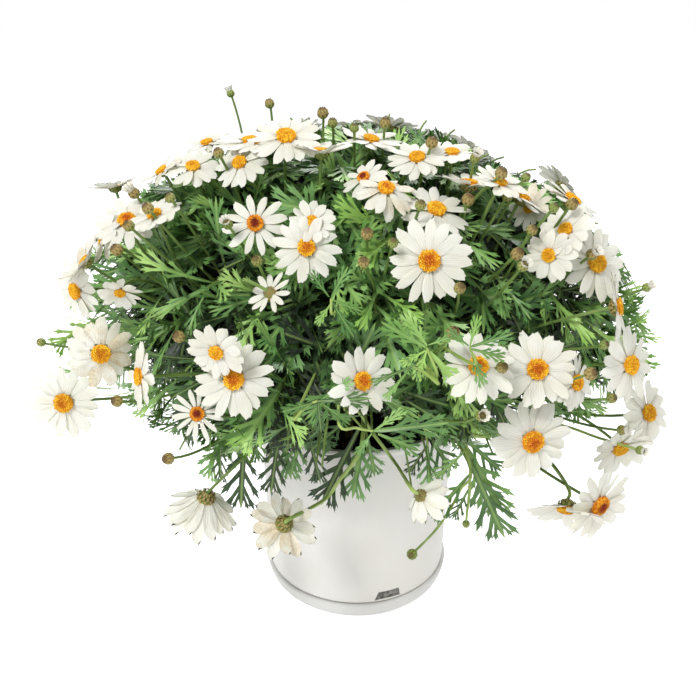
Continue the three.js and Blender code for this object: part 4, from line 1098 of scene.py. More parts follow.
def petal_finish():
    """White petals with fine veins, darker in their grooves as painted shade, and a yellowish foot;
    the tone tells how worn they are.
    """
    finish = Finish(
        "petal_finish", 70, 700, Specular_IOR_Level=0.3, Subsurface_Weight=0.36,
        Subsurface_Radius=(0.004, 0.0037, 0.003), Subsurface_Scale=1.0,
    )
    across, along, tone = finish.place()
    white = finish.patches((244, 242, 229), (239, 235, 217))
    lines = finish.sum("SINE", finish.sum("MULTIPLY", across, 19))
    lines = finish.span(lines, -1, -0.2, 1, 0)
    # The grooves are darkened: partly the veins' own colour, partly painted shade in the creases
    veins_and_groove_shade = finish.sum("MULTIPLY", lines, finish.span(along, 0.1, 0.95, 0.35, 0.08))
    white = finish.mix(veins_and_groove_shade, white, (198, 194, 172))
    white = finish.mix(finish.span(along, 0.0, 0.2, 0.5, 0), white, (226, 224, 178))
    worn = finish.mix(finish.span(finish.fine, 0.3, 0.7), (232, 218, 188), (204, 182, 142))
    patch = finish.sum("ADD", finish.coarse, finish.sum("MULTIPLY", tone, 0.55))
    patch = finish.sum("MULTIPLY", finish.span(patch, 0.55, 1.05), finish.span(tone, 0.02, 0.6))
    finish.colour(finish.mix(patch, white, worn))
    finish.rough(0.5, 0.65)
    grooves = finish.sum("MULTIPLY", lines, -0.6)
    height = finish.sum("ADD", grooves, finish.sum("MULTIPLY", finish.fine, 0.3))
    return finish.bump(height, 0.35, 0.0004)


def floret_finish():
    """Tone is the flower's disc colour from 0 to 2, across the ring and along a floret's chance."""
    finish = Finish("floret_finish", 160, 900, Specular_IOR_Level=0.25)
    ring, chance, tone = finish.place()
    luck = finish.span(chance, 0.15, 0.9)
    yellow = finish.mix(luck, (222, 150, 22), (248, 200, 48))
    orange = finish.mix(luck, (196, 92, 18), (232, 142, 30))
    brown = finish.mix(luck, (112, 34, 18), (168, 60, 26))
    middle = finish.mix(finish.span(tone, 0.4, 1.2), yellow, orange)
    middle = finish.mix(finish.span(tone, 1.3, 1.9), middle, brown)
    outer = finish.mix(finish.span(tone, 0.9, 2.2, 0, 0.7), yellow, orange)
    finish.colour(finish.mix(finish.span(ring, 0.35, 0.75), middle, outer))
    finish.rough(0.6, 0.8)
    return finish.bump(finish.fine, 0.5, 0.0005)


PETAL_FINISH = petal_finish()
FLORET_FINISH = floret_finish()
LEAF_FINISH = leaf_finish()
INNER_SHADE_FINISH = inner_shade_finish()
STALK_FINISH = stalk_finish()
SCALE_FINISH = scale_finish()
BARK_FINISH = bark_finish()
MIX_FINISH = mix_finish()
POT_FINISH = plastic_finish("pot_finish", (233, 232, 228), (226, 223, 217), 0.3, 0.38)
# The saucer is the pot's white plastic in darker colours: painted shade
SAUCER_SHADED_FINISH = plastic_finish("saucer_painted_shade_finish", (221, 221, 218), (214, 213, 210), 0.32, 0.4)
SLOT_FINISH = plastic_finish("slot_finish", (72, 70, 66), (150, 147, 141), 0.5, 0.7, 330)


PETAL = petal_master()
# Leaves, with their lobes, the width of the rib, and how wide they grow for their length in the
# canopy and on the shoots and sprays that show in front
LEAF_KINDS = [
    ([(3, 46, 0.25, 0.046), (5, 40, 0.35, 0.052), (7, 33, 0.3, 0.048), (8, 24, 0.18, 0.038)],
     0.08, 0.84, 0.78),
    ([(4, 34, 0.2, 0.04), (6, 30, 0.27, 0.044), (8, 24, 0.18, 0.036)], 0.07, 0.74, 0),
    ([(5, 24, 0.2, 0.06), (7, 22, 0.24, 0.064)], 0.12, 0.5, 0.5),
    ([(3, 36, 0.24, 0.066), (5, 34, 0.33, 0.074), (7, 27, 0.28, 0.068)], 0.12, 0, 0.62),
]
LEAVES = [leaf_master(lobes, rib) for lobes, rib, _, _ in LEAF_KINDS]
CANOPY_WIDTHS = np.array([row[2] for row in LEAF_KINDS])
SHOWN_WIDTHS = [row[3] for row in LEAF_KINDS]
FLORET = floret_master()
BRACT = bract_master()
CRUMBS = [crumb_master(0.25), crumb_master(0.9)]
CUP = turned_master([(0.18, -1.0), (0.3, -0.86), (0.62, -0.55), (0.9, -0.2), (1.0, 0)], 10)
DOME = turned_master(
    [(1.0, -0.1), (0.98, 0.05), (0.8, 0.22), (0.5, 0.32), (0.2, 0.35), (0, 0.34)], 12
)
BUD_BODY = turned_master(
    [(0.35, -0.95), (0.8, -0.55), (1.0, 0), (0.82, 0.55), (0.4, 0.92), (0, 1.0)], 8
)


# Flowers
PETAL_SEED = 400
PETAL_ROOT = 0.19
PETAL_FILL = 0.7
PETAL_ROLL = 0.07
FLORET_SEED = 900
FLORET_COUNT = 88
FLORET_FILL = 0.97
DOME_SHARE = 0.93
DOME_LIFT = 0.0007


def spokes(across, along, angles):
    """Directions at these angles in the plane that across and along span."""
    return np.cos(angles)[:, None] * across + np.sin(angles)[:, None] * along


def petal_ring(flower):
    """Petals in two layers; worn ones fall and bend more."""
    extra = FULLER.get(flower["key"], EXTRA_PETALS if flower["slim"] > SLIM_FLOWER else 0)
    count = int(flower["petals"]) + extra
    radius, normal, wilt = flower["radius"], flower["normal"], flower["wilt"]
    steep = flower["rise"] / radius
    dice = np.random.default_rng(PETAL_SEED + flower["key"])
    angles = (np.arange(count) + dice.uniform(-0.16, 0.16, count)) * 2 * math.pi / count
    angles += dice.uniform(0, 6)
    out = spokes(flower["across"], flower["along"], angles)
    fall = dice.uniform(0, 1, count) ** 2
    layer = np.where(np.arange(count) % 2, 0.0004, -0.0006) + dice.uniform(-0.0002, 0.0002, count)
    slope = steep / (1 - PETAL_ROOT) + dice.uniform(-0.09, 0.06, count) - fall * wilt * 0.5
    alongs = out + normal * slope[:, None]
    ups = normal - out * slope[:, None]
    roll = dice.uniform(-0.12, 0.12, count)[:, None] + PETAL_ROLL
    ups = ups + np.cross(alongs, ups) * roll
    roots = flower["centre"] + out * radius * PETAL_ROOT + normal * layer[:, None]
    longer = math.sqrt(1 + steep ** 2)
    size = radius * (1 - PETAL_ROOT) * dice.uniform(0.86, 1.07, count) * longer
    width = 2 * math.pi * radius * PETAL_FILL / (count - 0.6 * extra) * flower["slim"]
    width = width * dice.uniform(0.78, 1.14, count) * longer
    bend = dice.uniform(0.05, 0.3, count) + wilt * fall * 1.1
    tones = np.clip(wilt * 1.15 * dice.uniform(0.3, 1.4, count), 0, 1)
    return grow(
        PETAL, roots, alongs, ups, size, width, bend, tones,
        cups=dice.uniform(-0.09, 0.07, count), twists=dice.uniform(-0.25, 0.25, count) * (1 + wilt),
    )


def floret_dome(flower):
    """Florets on a golden spiral over a low dome, the smallest in the middle."""
    radius, normal = flower["radius"] * DISC_SHARE * DOME_SHARE, flower["normal"]
    dice = np.random.default_rng(FLORET_SEED + flower["key"])
    order = (np.arange(FLORET_COUNT) + 0.5) / FLORET_COUNT
    ring = np.sqrt(order) * FLORET_FILL
    angles = np.arange(FLORET_COUNT) * math.radians(GOLDEN_ANGLE)
    out = spokes(flower["across"], flower["along"], angles)
    height = 0.34 * np.sqrt(np.maximum(0, 1 - (ring * 0.95) ** 2)) + 0.06
    seat = flower["centre"] + normal * DOME_LIFT
    roots = seat + out * (ring * radius)[:, None] + normal * (height * radius)[:, None]
    alongs = normal + out * (ring * 0.55)[:, None]
    size = radius * (0.085 + 0.05 * ring) * dice.uniform(0.85, 1.15, FLORET_COUNT)
    florets = grow(FLORET, roots, alongs, out, size * 1.3, size * 2.0, tones=flower["disc"])
    per = len(FLORET["points"])
    florets["places"][:, 0] = np.repeat(ring, per)
    florets["places"][:, 1] = np.repeat(dice.uniform(0, 1, FLORET_COUNT), per)
    dome = grow(
        DOME, seat[None], normal[None], flower["across"][None], radius, radius,
        tones=flower["disc"],
    )
    dome["places"][:, 0] = np.linspace(1, 0, len(dome["places"]))
    dome["places"][:, 1] = 0.1
    return florets, dome


flower_pieces = {}
for flower in flowers:
    florets, dome = floret_dome(flower)
    flower_pieces.setdefault(flower["node"], []).extend([
        (petal_ring(flower), PETAL_FINISH), (florets, FLORET_FINISH), (dome, FLORET_FINISH),
    ])
for node, parts in flower_pieces.items():
    make_piece(f"{node}_petals", parts, [node])


# Stalks, calyces and buds
STALK_TRIES = 26
STALK_STEPS = 18
STALK_CLEARANCE = 0.0016
STALK_TOUCH = 0.0004
STALK_END = 0.009
ARC_STEPS = 6
SHOWN_THICKER = 1.2
SHOWN_BUD_TONE = 0.15
AWAY_CUP_TONE = 0.95
# Shares of the heart's size at which shown stems, hidden stalks and shoots begin
SHOWN_FROM = 0.85
STALK_FROM = 0.75
SHOOT_FROM = 0.7
BRACT_WIDTH = 0.66
BRACT_BEND = 0.7
CUP_SEAT = 0.0004
CUP_DEPTH = 0.78
CUP_SCALES = 11
BUD_SCALES = 8
# Rings of scales, as distance from the axis, height and lean, and on buds the scales' size
CUP_RINGS = ((0.93, -0.5, 0.5), (0.72, -0.82, 0.8), (0.36, -1.0, 1.1))
BUD_RINGS = ((0.45, -0.88, 0.95, 0.95), (0.84, -0.5, 0.3, 1.0), (0.88, 0.0, -0.1, 1.0))


def shown_line(front, places, ends=()):
    """A stem or stalk from the dense heart through its places in the picture."""
    points = [on_front_plane(place, front) for place in places]
    inner = on_skin(HEART_CENTRE, HEART_SIZE, unit(points[0] - HEART_CENTRE), SHOWN_FROM)
    return arc([inner, *points, *ends], ARC_STEPS)


def stalk_line(start, away, key):
    """From the foot of a flower or bud back to the dense heart, clear of the flowers."""
    if key in SHOWN_STALKS:
        return shown_line(*SHOWN_STALKS[key], (start + away * STALK_END, start))
    direction = unit(start - HEART_CENTRE)
    dice = np.random.default_rng(key)
    fewest = None
    for turn in range(STALK_TRIES):
        drop = 0.35 + 0.3 * dice.uniform()
        inner = on_skin(HEART_CENTRE, HEART_SIZE, unit(direction - UP * drop), STALK_FROM)
        reach = np.linalg.norm(start - inner)
        shift = dice.normal(0, 0.009 + 0.0012 * turn, 3)
        shift = shift - direction * (shift @ direction)
        lead = unit(away - direction * 0.5 - UP * 0.35)
        first = start + lead * reach * 0.4 + shift
        second = inner + direction * reach * 0.3 + shift * 0.7
        line = bezier(inner, second, first, start, STALK_STEPS)
        hits = in_flowers(line[:-3], STALK_CLEARANCE).any(1).sum()
        hits += in_flowers(line[-3:], -STALK_TOUCH).any(1).sum()
        if fewest is None or hits < fewest:
            fewest, clearest = hits, line
        if hits == 0:
            break
    return clearest


def branch_of(points):
    """Which of the seven branches a place belongs to, by its angle about the pot's axis."""
    angles = np.degrees(np.arctan2(points[..., 1], points[..., 0]))
    return (((angles - FIRST_EDGE) % 360) // (360 / BRANCHES)).astype(int)


def ring_of_scales(foot, normal, across, along, count, radius, height, size, lean, turn, tone):
    """Pointed scales round an axis, with their finish."""
    out = spokes(across, along, (np.arange(count) + turn) * 2 * math.pi / count)
    roots = foot + out * radius + normal * height
    alongs = normal * math.cos(lean) + out * math.sin(lean)
    ups = out * math.cos(lean) - normal * math.sin(lean)
    scales = grow(BRACT, roots, alongs, ups, size, size * BRACT_WIDTH, BRACT_BEND, tone)
    return scales, SCALE_FINISH


def frame_of(normal):
    """Two directions square to a normal and to each other."""
    across = unit(np.cross(normal, UP if abs(normal[2]) < 0.9 else RIGHT))
    return across, np.cross(normal, across)


def add_stalk(start, away, key, branch, foot, top):
    """Notes a stalk of its branch, from the thickness at its foot to that at its top."""
    line = stalk_line(start, away, key)
    radii = np.linspace(foot, top, len(line))
    shown = key in SHOWN_STALKS
    if shown and key < BUD_KEYS:
        radii *= SHOWN_THICKER
    stalk_lines[branch].append((line, radii, shown))


stalk_parts = [[] for _ in range(BRANCHES)]
stalk_lines = [[] for _ in range(BRANCHES)]
for bud in buds:
    if bud["key"] in SHOWN_STALKS:
        front, places = SHOWN_STALKS[bud["key"]]
        bud["normal"] = unit(bud["centre"] - on_front_plane(places[-1], front))
for flower in flowers:
    normal, across, along = flower["normal"], flower["across"], flower["along"]
    disc = flower["radius"] * DISC_SHARE
    top = flower["centre"] - normal * CUP_SEAT
    depth = disc * CUP_DEPTH
    branch = branch_of(flower["centre"])
    cup = grow(CUP, top[None], normal[None], across[None], depth, disc * 1.02, tones=0.3)
    stalk_parts[branch].append((cup, SCALE_FINISH))
    tone = 0.5 + 0.4 * (flower["key"] * 7 % 5) / 4
    if normal @ FORWARD > 0.2:
        tone = AWAY_CUP_TONE
    for row, (share, height, lean) in enumerate(CUP_RINGS):
        stalk_parts[branch].append(ring_of_scales(
            top, normal, across, along, CUP_SCALES, disc * share, depth * height,
            disc * (0.5 - 0.04 * row), lean, row * 0.5, tone,
        ))
    add_stalk(top - normal * depth * 0.95, -normal, flower["key"], branch, 0.0015, 0.0012)
for bud in buds:
    normal, radius, centre = bud["normal"], bud["radius"] * BUD_SHARE, bud["centre"]
    across, along = frame_of(normal)
    branch = branch_of(centre)
    tone = 0.3 + 0.7 * (bud["key"] * 7 % 5) / 4
    if bud["key"] in SHOWN_STALKS:
        tone = SHOWN_BUD_TONE
    body = grow(
        BUD_BODY, centre[None], normal[None], across[None], radius * 0.95, radius * 0.86, tones=tone
    )
    stalk_parts[branch].append((body, SCALE_FINISH))
    for row, (ring, height, lean, size) in enumerate(BUD_RINGS):
        stalk_parts[branch].append(ring_of_scales(
            centre, normal, across, along, BUD_SCALES, radius * ring, radius * height,
            radius * size, lean, row * 0.5, min(1, tone * (0.5 + 0.5 * row)),
        ))
    if bud["open"]:
        out = spokes(across, along, np.arange(TIP_COUNT) * 2 * math.pi / TIP_COUNT)
        tips = grow(
            PETAL, centre + out * radius * 0.6 + normal * radius * 0.3, normal + out * 0.12, out,
            radius * 1.5, radius * 0.8, -0.55, 0.05,
        )
        stalk_parts[branch].append((tips, PETAL_FINISH))
    add_stalk(centre - normal * radius * 0.85, -normal, bud["key"], branch, 0.0013, 0.0010)


# Leafy shoots
SHOOT_COUNT = 290
SHOOT_STEPS = 12
SHOOT_SEED = 77
LEAVES_PER_SHOOT = 13
LEAF_SEED = 99
LEAF_TRIES = 5
LEAF_TURN = 2.4
TRY_TURN = 1.3
TRY_SHORTER = 0.08
TWIST_SEED = 5
SIDES_SEED = 6
OPEN_FRONT = 0.055
LEAF_CLEARANCE = 0.0008
BEHIND_FACE = 0.004
BUD_REACH = 0.0062
BUD_VIEW_REACH = 8
POT_REACH = 0.104
POT_TOP = 0.199
LOWEST_LEAF = 0.13
CANOPY_ROOM = 0.004
SHOWN_STRETCH = 1.02
SHOWN_BEND = 0.2
# Depths inside the canopy and the tone taken off leaves there: painted shade, darker further in
PAINTED_SHADE_DEPTHS = (0.55, 0.8, 0.97)
PAINTED_SHADES = (-0.8, -0.32, 0.14)
STEM_FOOT = 0.0018
SPRAY_FOOT = 0.0012
STEM_END = 0.0008
BLOCK = 2000
INNER_SHARE = 0.96
# Places on a leaf, by which it is kept clear of the flowers
PROBES = np.array([
    (0, 0.2, 0), (0, 0.5, 0), (0, 0.75, 0), (0, 1, 0), (-0.27, 0.62, 0), (0.27, 0.62, 0),
    (0.22, 0.85, 0), (-0.22, 0.85, 0),
])
PROBE = {
    "points": PROBES, "places": np.zeros(PROBES.shape), "corners": np.arange(len(PROBES)),
    "sizes": np.array([len(PROBES)]),
}
# Where foliage shows in the picture: its highest and its lowest places, each as picture across
# and down, and how far back the lowest still count
HIGHEST = ([40, 70, 100, 150, 200, 250, 300, 350, 400, 450, 500, 550, 600, 640, 670],
           [330, 275, 228, 186, 162, 146, 128, 122, 124, 136, 164, 186, 226, 280, 360])
LOWEST = ([60, 120, 150, 180, 200, 230, 260, 300, 330, 410, 430, 470, 500, 540, 600, 660],
          [370, 412, 434, 444, 462, 474, 462, 456, 424, 424, 450, 456, 440, 428, 424, 396])
SEEN_SIDE = 0.06
FLOWER_VIEW = picture_of(CENTRES)
BUD_PLACES = np.array([bud["centre"] for bud in buds])
BUD_VIEW = picture_of(BUD_PLACES)
FACING = -(NORMALS @ FORWARD)


def blocked(points):
    """Places that lie in a flower, close before its face, or between it and the viewer."""
    flat = points.reshape(-1, 3)
    inside = in_flowers(flat, LEAF_CLEARANCE).any(1)
    offset = flat[:, None] - CENTRES[None]
    height = np.einsum("pfk,fk->pf", offset, NORMALS)
    away = np.sqrt(np.maximum(0, (offset ** 2).sum(2) - height ** 2))
    before = ((height > 0) & (height < OPEN_FRONT) & (away < RADII * 0.92)).any(1)
    across, down, depth = picture_of(flat)
    seen = len(FLOWERS)
    gap = np.hypot(across[:, None] - FLOWER_VIEW[0][:seen], down[:, None] - FLOWER_VIEW[1][:seen])
    reach = RADII[:seen] * FOCAL / FLOWER_VIEW[2][:seen]
    squash = np.where(FACING[:seen] > 0.1, 0.9, 0.55) * (0.45 + 0.55 * np.abs(FACING[:seen]))
    hides = (gap < reach * squash) & (depth[:, None] < FLOWER_VIEW[2][:seen] + BEHIND_FACE)
    bud_gap = np.hypot(across[:, None] - BUD_VIEW[0], down[:, None] - BUD_VIEW[1])
    hides_bud = (bud_gap < BUD_VIEW_REACH) & (depth[:, None] < BUD_VIEW[2] + BEHIND_FACE)
    at_bud = np.linalg.norm(flat[:, None] - BUD_PLACES[None], axis=2) < BUD_REACH
    bad = inside | before | hides.any(1) | hides_bud.any(1) | at_bud.any(1)
    return bad.reshape(points.shape[:-1])


def shoot_places():
    """Stems of the shoots on a golden spiral, from the heart out to below the canopy's skin."""
    dice = np.random.default_rng(SHOOT_SEED)
    stems = []
    for index in range(SHOOT_COUNT):
        height = 0.985 - (index + 0.5) / SHOOT_COUNT * 1.5
        angle = index * math.radians(GOLDEN_ANGLE)
        ring = math.sqrt(max(0, 1 - height * height))
        direction = np.array((math.cos(angle) * ring, math.sin(angle) * ring, height))
        direction = unit(direction + dice.normal(0, 0.05, 3))
        share = 0.70 + 0.2 * dice.uniform()
        tip = on_skin(CANOPY_CENTRE, CANOPY_SIZE, direction, share)
        inner = on_skin(HEART_CENTRE, HEART_SIZE, unit(direction - UP * 0.35), SHOOT_FROM)
        reach = np.linalg.norm(tip - inner)
        lift = UP * reach * (0.22 if height > -0.1 else 0.3)
        first = inner + direction * reach * 0.3 + lift * 0.5
        second = tip - direction * reach * 0.35 + lift
        stems.append(bezier(inner, first, second, tip, SHOOT_STEPS))
    return stems


def leaf_rows(stems):
    """Leaves around the stems: short ones in a tuft at the tip, longer ones further down."""
    dice = np.random.default_rng(LEAF_SEED)
    rows = []
    for index, line in enumerate(stems):
        fresh = dice.uniform()
        for leaf in range(LEAVES_PER_SHOOT):
            order = (leaf + 0.5) / LEAVES_PER_SHOOT
            t = 0.30 + 0.7 * order ** 0.8
            at = t * (len(line) - 1)
            low = min(int(at), len(line) - 2)
            root = line[low] + (line[low + 1] - line[low]) * (at - low)
            stem = unit(line[low + 1] - line[low])
            for attempt in range(LEAF_TRIES):
                angle = leaf * LEAF_TURN + index + attempt * TRY_TURN
                across, along = frame_of(stem)
                out = math.cos(angle) * across + math.sin(angle) * along
                lean = math.radians(74 - 52 * order ** 1.5 + dice.uniform(-12, 12))
                ahead = unit(stem * math.cos(lean) + out * math.sin(lean) + UP * 0.12)
                upper = stem * math.sin(lean) - out * math.cos(lean) + UP * 0.25
                length = (0.084 - 0.03 * order) * dice.uniform(0.78, 1.14)
                length *= 1 - TRY_SHORTER * attempt
                bend = dice.uniform(0.1, 0.8) * (1.15 - 0.6 * order)
                limits = (0.7 - 0.35 * order, 0.96 - 0.1 * order)
                kind = int(np.searchsorted(limits, dice.uniform()))
                # Leaves further out along the shoot are lighter: partly younger leaves, partly
                # painted shade on those nearer the heart
                tone = 0.4 * (t - 0.3) / 0.7 + 0.3 * fresh + 0.5 * dice.uniform() - 0.1
                key = index * 100 + leaf
                rows.append((key, root, ahead, upper, length, bend, kind, tone))
    return rows


def kept_leaves(rows):
    """The first try of each leaf that is clear of flowers, buds and pot and in the outline."""
    keys, roots, alongs, ups, lengths, bends, kinds, tones = map(np.array, zip(*rows))
    widths = lengths * CANOPY_WIDTHS[kinds]
    probes = grow(PROBE, roots, alongs, ups, lengths, widths, bends)["points"]
    probes = probes.reshape(-1, len(PROBES), 3)
    starts = range(0, len(probes), BLOCK)
    bad = np.concatenate([blocked(probes[k:k + BLOCK]).any(1) for k in starts])
    low = probes[..., 2].min(1)
    near_pot = (np.hypot(probes[..., 0], probes[..., 1]) < POT_REACH) & (probes[..., 2] < POT_TOP)
    share = np.linalg.norm((probes - CANOPY_CENTRE) / (CANOPY_SIZE + CANOPY_ROOM), axis=2).max(1)
    across, down, _ = picture_of(probes.reshape(-1, 3))
    high = down < np.interp(across, *HIGHEST)
    hanging = (down > np.interp(across, *LOWEST)) & (probes.reshape(-1, 3)[:, 1] < SEEN_SIDE)
    bad |= (high | hanging).reshape(-1, len(PROBES)).any(1)
    bad |= near_pot.any(1) | (share > 1) | (low < LOWEST_LEAF)
    good = np.flatnonzero(~bad)
    _, first = np.unique(keys[good], return_index=True)
    chosen = good[first]
    return [column[chosen] for column in (roots, alongs, ups, lengths, widths, bends, kinds, tones)]


def shown_shoots():
    """The shoots that hang in front, with their leaves where the picture shows them."""
    stems, rows = [], []
    shoots = [(*shoot, SHADED_SHOOT_TONE if shoot[0] < OUTER_FRONT else OUTER_TONE, 0) for shoot in SHOOTS]
    for front, stem, leaves, tone, kind in shoots + SPRAYS:
        stems.append(shown_line(front, stem))
        for leaf, (x0, y0, x1, y1) in enumerate(leaves):
            root = on_front_plane((x0, y0), front)
            tip = on_front_plane((x1, y1), front + 8 - 6 * (leaf % 3))
            ahead = tip - root
            reach = np.linalg.norm(ahead)
            upper = np.array((0.3 * (leaf % 3 - 1), -1.0, 0.35))
            shade = tone + 0.12 * (leaf * 3 % 4) - 0.2
            length = reach * SHOWN_STRETCH
            width = length * SHOWN_WIDTHS[kind]
            rows.append((root, ahead / reach, upper, length, width, SHOWN_BEND, kind, shade))
    return stems, rows


stems = shoot_places()
canopy = kept_leaves(leaf_rows(stems))
sheltered_count = len(canopy[0])
hanging_stems, hanging = shown_shoots()
roots, alongs, ups, lengths, widths, bends, kinds, tones = (
    np.concatenate((column, shown)) for column, shown in zip(canopy, zip(*hanging))
)
# Canopy leaves, which get the painted shade by depth below; the shown shoots and sprays do not
shaded_inside = np.arange(len(roots)) < sheltered_count
twists = np.random.default_rng(TWIST_SEED).uniform(-0.5, 0.5, len(roots))
cups = np.random.default_rng(SIDES_SEED).uniform(0.0, 0.1, len(roots))
owners = branch_of(roots)
branch_nodes = [f"leafy_branch_{branch + 1}" for branch in range(BRANCHES)]
for branch in range(BRANCHES):
    parts = []
    for kind, master in enumerate(LEAVES):
        mine = (owners == branch) & (kinds == kind)
        leaves = grow(
            master, roots[mine], alongs[mine], ups[mine], lengths[mine], widths[mine], bends[mine],
            tones[mine], cups[mine], twists[mine],
        )
        # Painted shade: canopy leaves grow darker the deeper they lie inside the canopy
        depth = np.linalg.norm((leaves["points"] - CANOPY_CENTRE) / CANOPY_SIZE, axis=1)
        shade = np.interp(depth, PAINTED_SHADE_DEPTHS, PAINTED_SHADES)
        leaves["places"][:, 2] += shade * np.repeat(shaded_inside[mine], len(master["points"]))
        parts.append((leaves, LEAF_FINISH))
    make_piece(f"leaves_{branch + 1}", parts, [branch_nodes[branch]], 75)
for index, line in enumerate(stems + hanging_stems):
    branch = branch_of(line[len(line) // 2])
    thick = STEM_FOOT if index < len(stems) + len(SHOOTS) else SPRAY_FOOT
    radii = np.linspace(thick, STEM_END, len(line))
    stalk_lines[branch].append((line, radii, index >= len(stems)))
for branch in range(BRANCHES):
    parts = stalk_parts[branch]
    # Tone 0 gives stalks inside the plant the painted-shade green, tone 1 gives the shown ones the
    # painted-light green
    for shown in (False, True):
        chosen = [(line, radii) for line, radii, seen in stalk_lines[branch] if seen == shown]
        if chosen:
            lines, radii = zip(*chosen)
            parts.append((tubes(lines, radii, tone=float(shown)), STALK_FINISH))
    make_piece(f"stalks_{branch + 1}", parts, [branch_nodes[branch]], 60)


# Woody stems out of the potting mix, and a near-black body of painted shade for the dense inside of
# the plant
def woody_lines():
    """Seven trunks out of the mix, each with three limbs into the heart."""
    lines, radii = [], []
    for branch in range(BRANCHES):
        angle = math.radians(FIRST_EDGE + (branch + 0.5) * 360 / BRANCHES)
        out = np.array((math.cos(angle), math.sin(angle), 0))
        fork = out * 0.072 + UP * 0.262
        foot = out * STEM_RING + UP * 0.150
        trunk = arc([foot, out * (STEM_RING + 0.001) + UP * 0.202, fork], ARC_STEPS)
        lines.append(trunk)
        radii.append(np.linspace(STEM_RADIUS * 0.98, 0.0042, len(trunk)))
        for turn in (-0.5, 0, 0.5):
            aim = np.array((math.cos(angle + turn), math.sin(angle + turn), 0))
            end = HEART_CENTRE + aim * 0.11 + UP * (0.01 + 0.02 * abs(turn))
            limb = arc([fork - UP * 0.012, (fork + end) / 2 + UP * 0.006, end], 5)
            lines.append(limb)
            radii.append(np.linspace(0.0036, 0.002, len(limb)))
    return lines, radii


lines, radii = woody_lines()
make_piece("woody_stems", [(tubes(lines, radii, 3), BARK_FINISH)], branch_nodes)


def with_lumps(thing, grain, strength, middle, direction="NORMAL"):
    """What take gives of a surface, after soft noise has pushed it in and out."""
    texture = bpy.data.textures.new("soft_lumps", "CLOUDS")
    texture.noise_scale = grain
    lumps = thing.modifiers.new("lumps", "DISPLACE")
    lumps.texture = texture
    lumps.strength = strength
    lumps.mid_level = middle
    lumps.direction = direction
    bpy.ops.object.modifier_apply(modifier="lumps")
    return take(thing)


def shaded_inner_foliage():
    """A lumpy body just inside the heart for the dense inside of the plant, near-black as painted
    shade.
    """
    deselect()
    bpy.ops.mesh.primitive_ico_sphere_add(subdivisions=5, radius=1, location=(0, 0, 0))
    inner = bpy.context.object
    inner.scale = tuple(HEART_SIZE * INNER_SHARE)
    inner.location = tuple(HEART_CENTRE)
    apply_place(inner)
    return with_lumps(inner, 0.022, 0.030, 0.75)


make_piece("shaded_inner_foliage", [(shaded_inner_foliage(), INNER_SHADE_FINISH)], branch_nodes)


# Pot, saucer, water slot and potting mix
def turned_piece(name, profile, material):
    """A closed turned body from a profile in millimetres."""
    rings = [(radius * MM, height * MM) for radius, height in profile if radius > 0]
    piece = ring_shape(rings, ROUND_STEPS)
    piece.name = name
    piece.data.materials.append(material)
    return piece


def slot_box(width, height, depth_in, depth_out, name):
    """A leaning four-sided block across the wall at the slot, wider on the picture's right."""
    deselect()
    bpy.ops.mesh.primitive_cube_add(size=1, location=(0, 0, 0))
    block = bpy.context.object
    block.name = name
    block.scale = (depth_in + depth_out, width, height)
    block.location = (SLOT_WALL + (depth_out - depth_in) / 2, 0, SLOT_BOTTOM + height / 2)
    apply_place(block)
    pick(block, lambda p: p.z > SLOT_BOTTOM + height * 0.6)
    bpy.ops.transform.resize(value=(1, SLOT_TOP_SHARE, 1))
    move(0, width * SLOT_LEAN)
    bpy.ops.object.mode_set(mode="OBJECT")
    block.rotation_euler = (0, 0, SLOT_ANGLE)
    apply_place(block)
    return block


saucer = turned_piece("saucer_shell", SAUCER_PROFILE, SAUCER_SHADED_FINISH)
pot = turned_piece("pot_shell", POT_PROFILE, POT_FINISH)
cutter = slot_box(SLOT_WIDTH, SLOT_HEIGHT, SLOT_DEPTH, 0.01, "slot_cutter")
choose(pot)
cut = pot.modifiers.new("slot", "BOOLEAN")
cut.object = cutter
cut.solver = "EXACT"
bpy.ops.object.modifier_apply(modifier="slot")
bpy.data.objects.remove(cutter)
keep(saucer, ["saucer"], SMOOTH_WALL)
keep(pot, ["pot"], SMOOTH_WALL)


def grate():
    """A plate with a raised frame, set back in the slot."""
    plate = slot_box(SLOT_WIDTH, SLOT_HEIGHT, SLOT_DEPTH, -SLOT_DEPTH * PLATE_BACK, "slot_grate")
    out = Vector((math.cos(SLOT_ANGLE), math.sin(SLOT_ANGLE), 0))
    pick(plate, lambda p: p.x * out.x + p.y * out.y > SLOT_WALL - SLOT_DEPTH * 0.6, "FACE")
    bpy.ops.mesh.inset(thickness=FRAME_WIDTH, depth=0)
    bpy.ops.mesh.inset(thickness=FRAME_STEP, depth=-FRAME_DEPTH)
    bpy.ops.mesh.subdivide(number_cuts=PLATE_CUTS)
    bpy.ops.object.mode_set(mode="OBJECT")
    return plate


plate = grate()
plate.data.materials.append(SLOT_FINISH)
keep(plate, ["water_slot"])


def mix_surface():
    """The lumpy top of the potting mix, with a short wall below its edge."""
    rings = [(share * MIX_RADIUS, MIX_TOP) for share in SOIL_RINGS]
    rings += [(MIX_RADIUS, MIX_TOP - SOIL_EDGE)]
    return with_lumps(ring_shape(rings, SOIL_SIDES), 0.012, 0.006, 0.6, "Z")


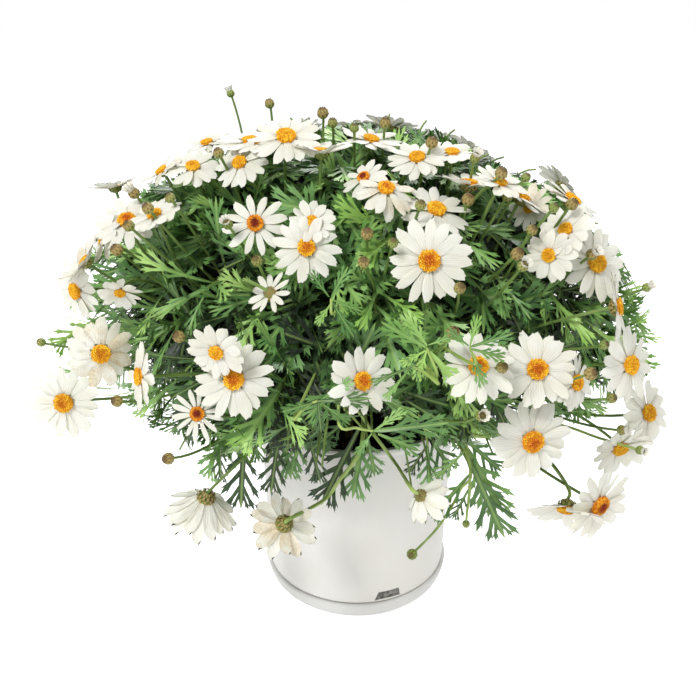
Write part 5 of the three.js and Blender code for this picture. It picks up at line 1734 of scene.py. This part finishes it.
def crumbs():
    """Round crumbs and long fibres strewn over the mix."""
    dice = np.random.default_rng(CRUMB_SEED)
    parts = []
    for master, (count, low, high) in zip(CRUMBS, CRUMB_SIZES):
        ring = MIX_RADIUS * np.sqrt(dice.uniform(0, 0.95, count))
        angle = dice.uniform(0, 2 * math.pi, count)
        height = MIX_TOP + dice.uniform(-0.001, 0.0012, count)
        roots = np.c_[ring * np.cos(angle), ring * np.sin(angle), height]
        size = dice.uniform(low, high, count)
        alongs = dice.normal(0, 1, (count, 3))
        parts.append(grow(master, roots, alongs, dice.normal(0, 1, (count, 3)), size, size))
    return parts


soil = [(part, MIX_FINISH) for part in (mix_surface(), *crumbs())]
make_piece("mix_crumbs", soil, ["potting_mix"], 30)


# Floor, light and camera
LIGHT_AIM = Vector((0, 0, 0.3))
FLOOR_SIZE = 120
FLOOR_GLOW = 0.55
SKY_LIGHT = 0.5
SENSOR = 36


def floor_finish():
    """A pale floor that glows for the viewer more than it lights the plant."""
    finish = Finish("floor_finish", 3, 200, Roughness=0.9)
    finish.colour(finish.mix(finish.coarse, (253, 253, 253), (255, 255, 255)))
    rays = finish.tree.nodes.new("ShaderNodeLightPath")
    glow = finish.mix(rays.outputs["Is Camera Ray"], (140, 140, 140), (255, 255, 255))
    finish.put(finish.shader.inputs["Emission Color"], glow)
    finish.shader.inputs["Emission Strength"].default_value = FLOOR_GLOW
    return finish.bump(finish.fine, 0.02, 0.0005)


deselect()
bpy.ops.mesh.primitive_grid_add(x_subdivisions=2, y_subdivisions=2, size=FLOOR_SIZE)
floor = bpy.context.object
floor.name = "pale_floor"
floor.data.materials.append(floor_finish())

world = bpy.data.worlds.new("studio")
world.use_nodes = True
sky = world.node_tree.nodes["Background"]
sky.inputs["Color"].default_value = (1, 1, 1, 1)
rays = world.node_tree.nodes.new("ShaderNodeLightPath")
bright = world.node_tree.nodes.new("ShaderNodeMapRange")
bright.inputs["To Min"].default_value = SKY_LIGHT
bright.inputs["To Max"].default_value = 1
world.node_tree.links.new(rays.outputs["Is Camera Ray"], bright.inputs["Value"])
world.node_tree.links.new(bright.outputs["Result"], sky.inputs["Strength"])
bpy.context.scene.world = world
bpy.context.scene.view_settings.view_transform = "Standard"


def soft_light(name, place, size, power):
    """A round light that looks at the plant's middle."""
    data = bpy.data.lights.new(name, "AREA")
    data.shape = "DISK"
    data.size = size
    data.energy = power
    light = bpy.data.objects.new(name, data)
    light.location = place
    light.rotation_euler = (LIGHT_AIM - Vector(place)).to_track_quat("-Z", "Y").to_euler()
    bpy.context.collection.objects.link(light)


soft_light("key_light", (-0.85, -1.35, 1.85), 0.6, 32)
soft_light("fill_light", (1.7, -0.5, 2.0), 1.5, 12)
soft_light("back_light", (0.3, 1.8, 2.0), 1.4, 35)

lens = bpy.data.cameras.new("camera")
lens.sensor_width = SENSOR
lens.lens = SENSOR * FOCAL / (2 * MIDDLE)
lens.clip_start = 0.01
camera = bpy.data.objects.new("camera", lens)
camera.location = tuple(EYE)
camera.rotation_euler = (math.pi / 2 - EYE_PITCH, 0, 0)
bpy.context.collection.objects.link(camera)
bpy.context.scene.camera = camera
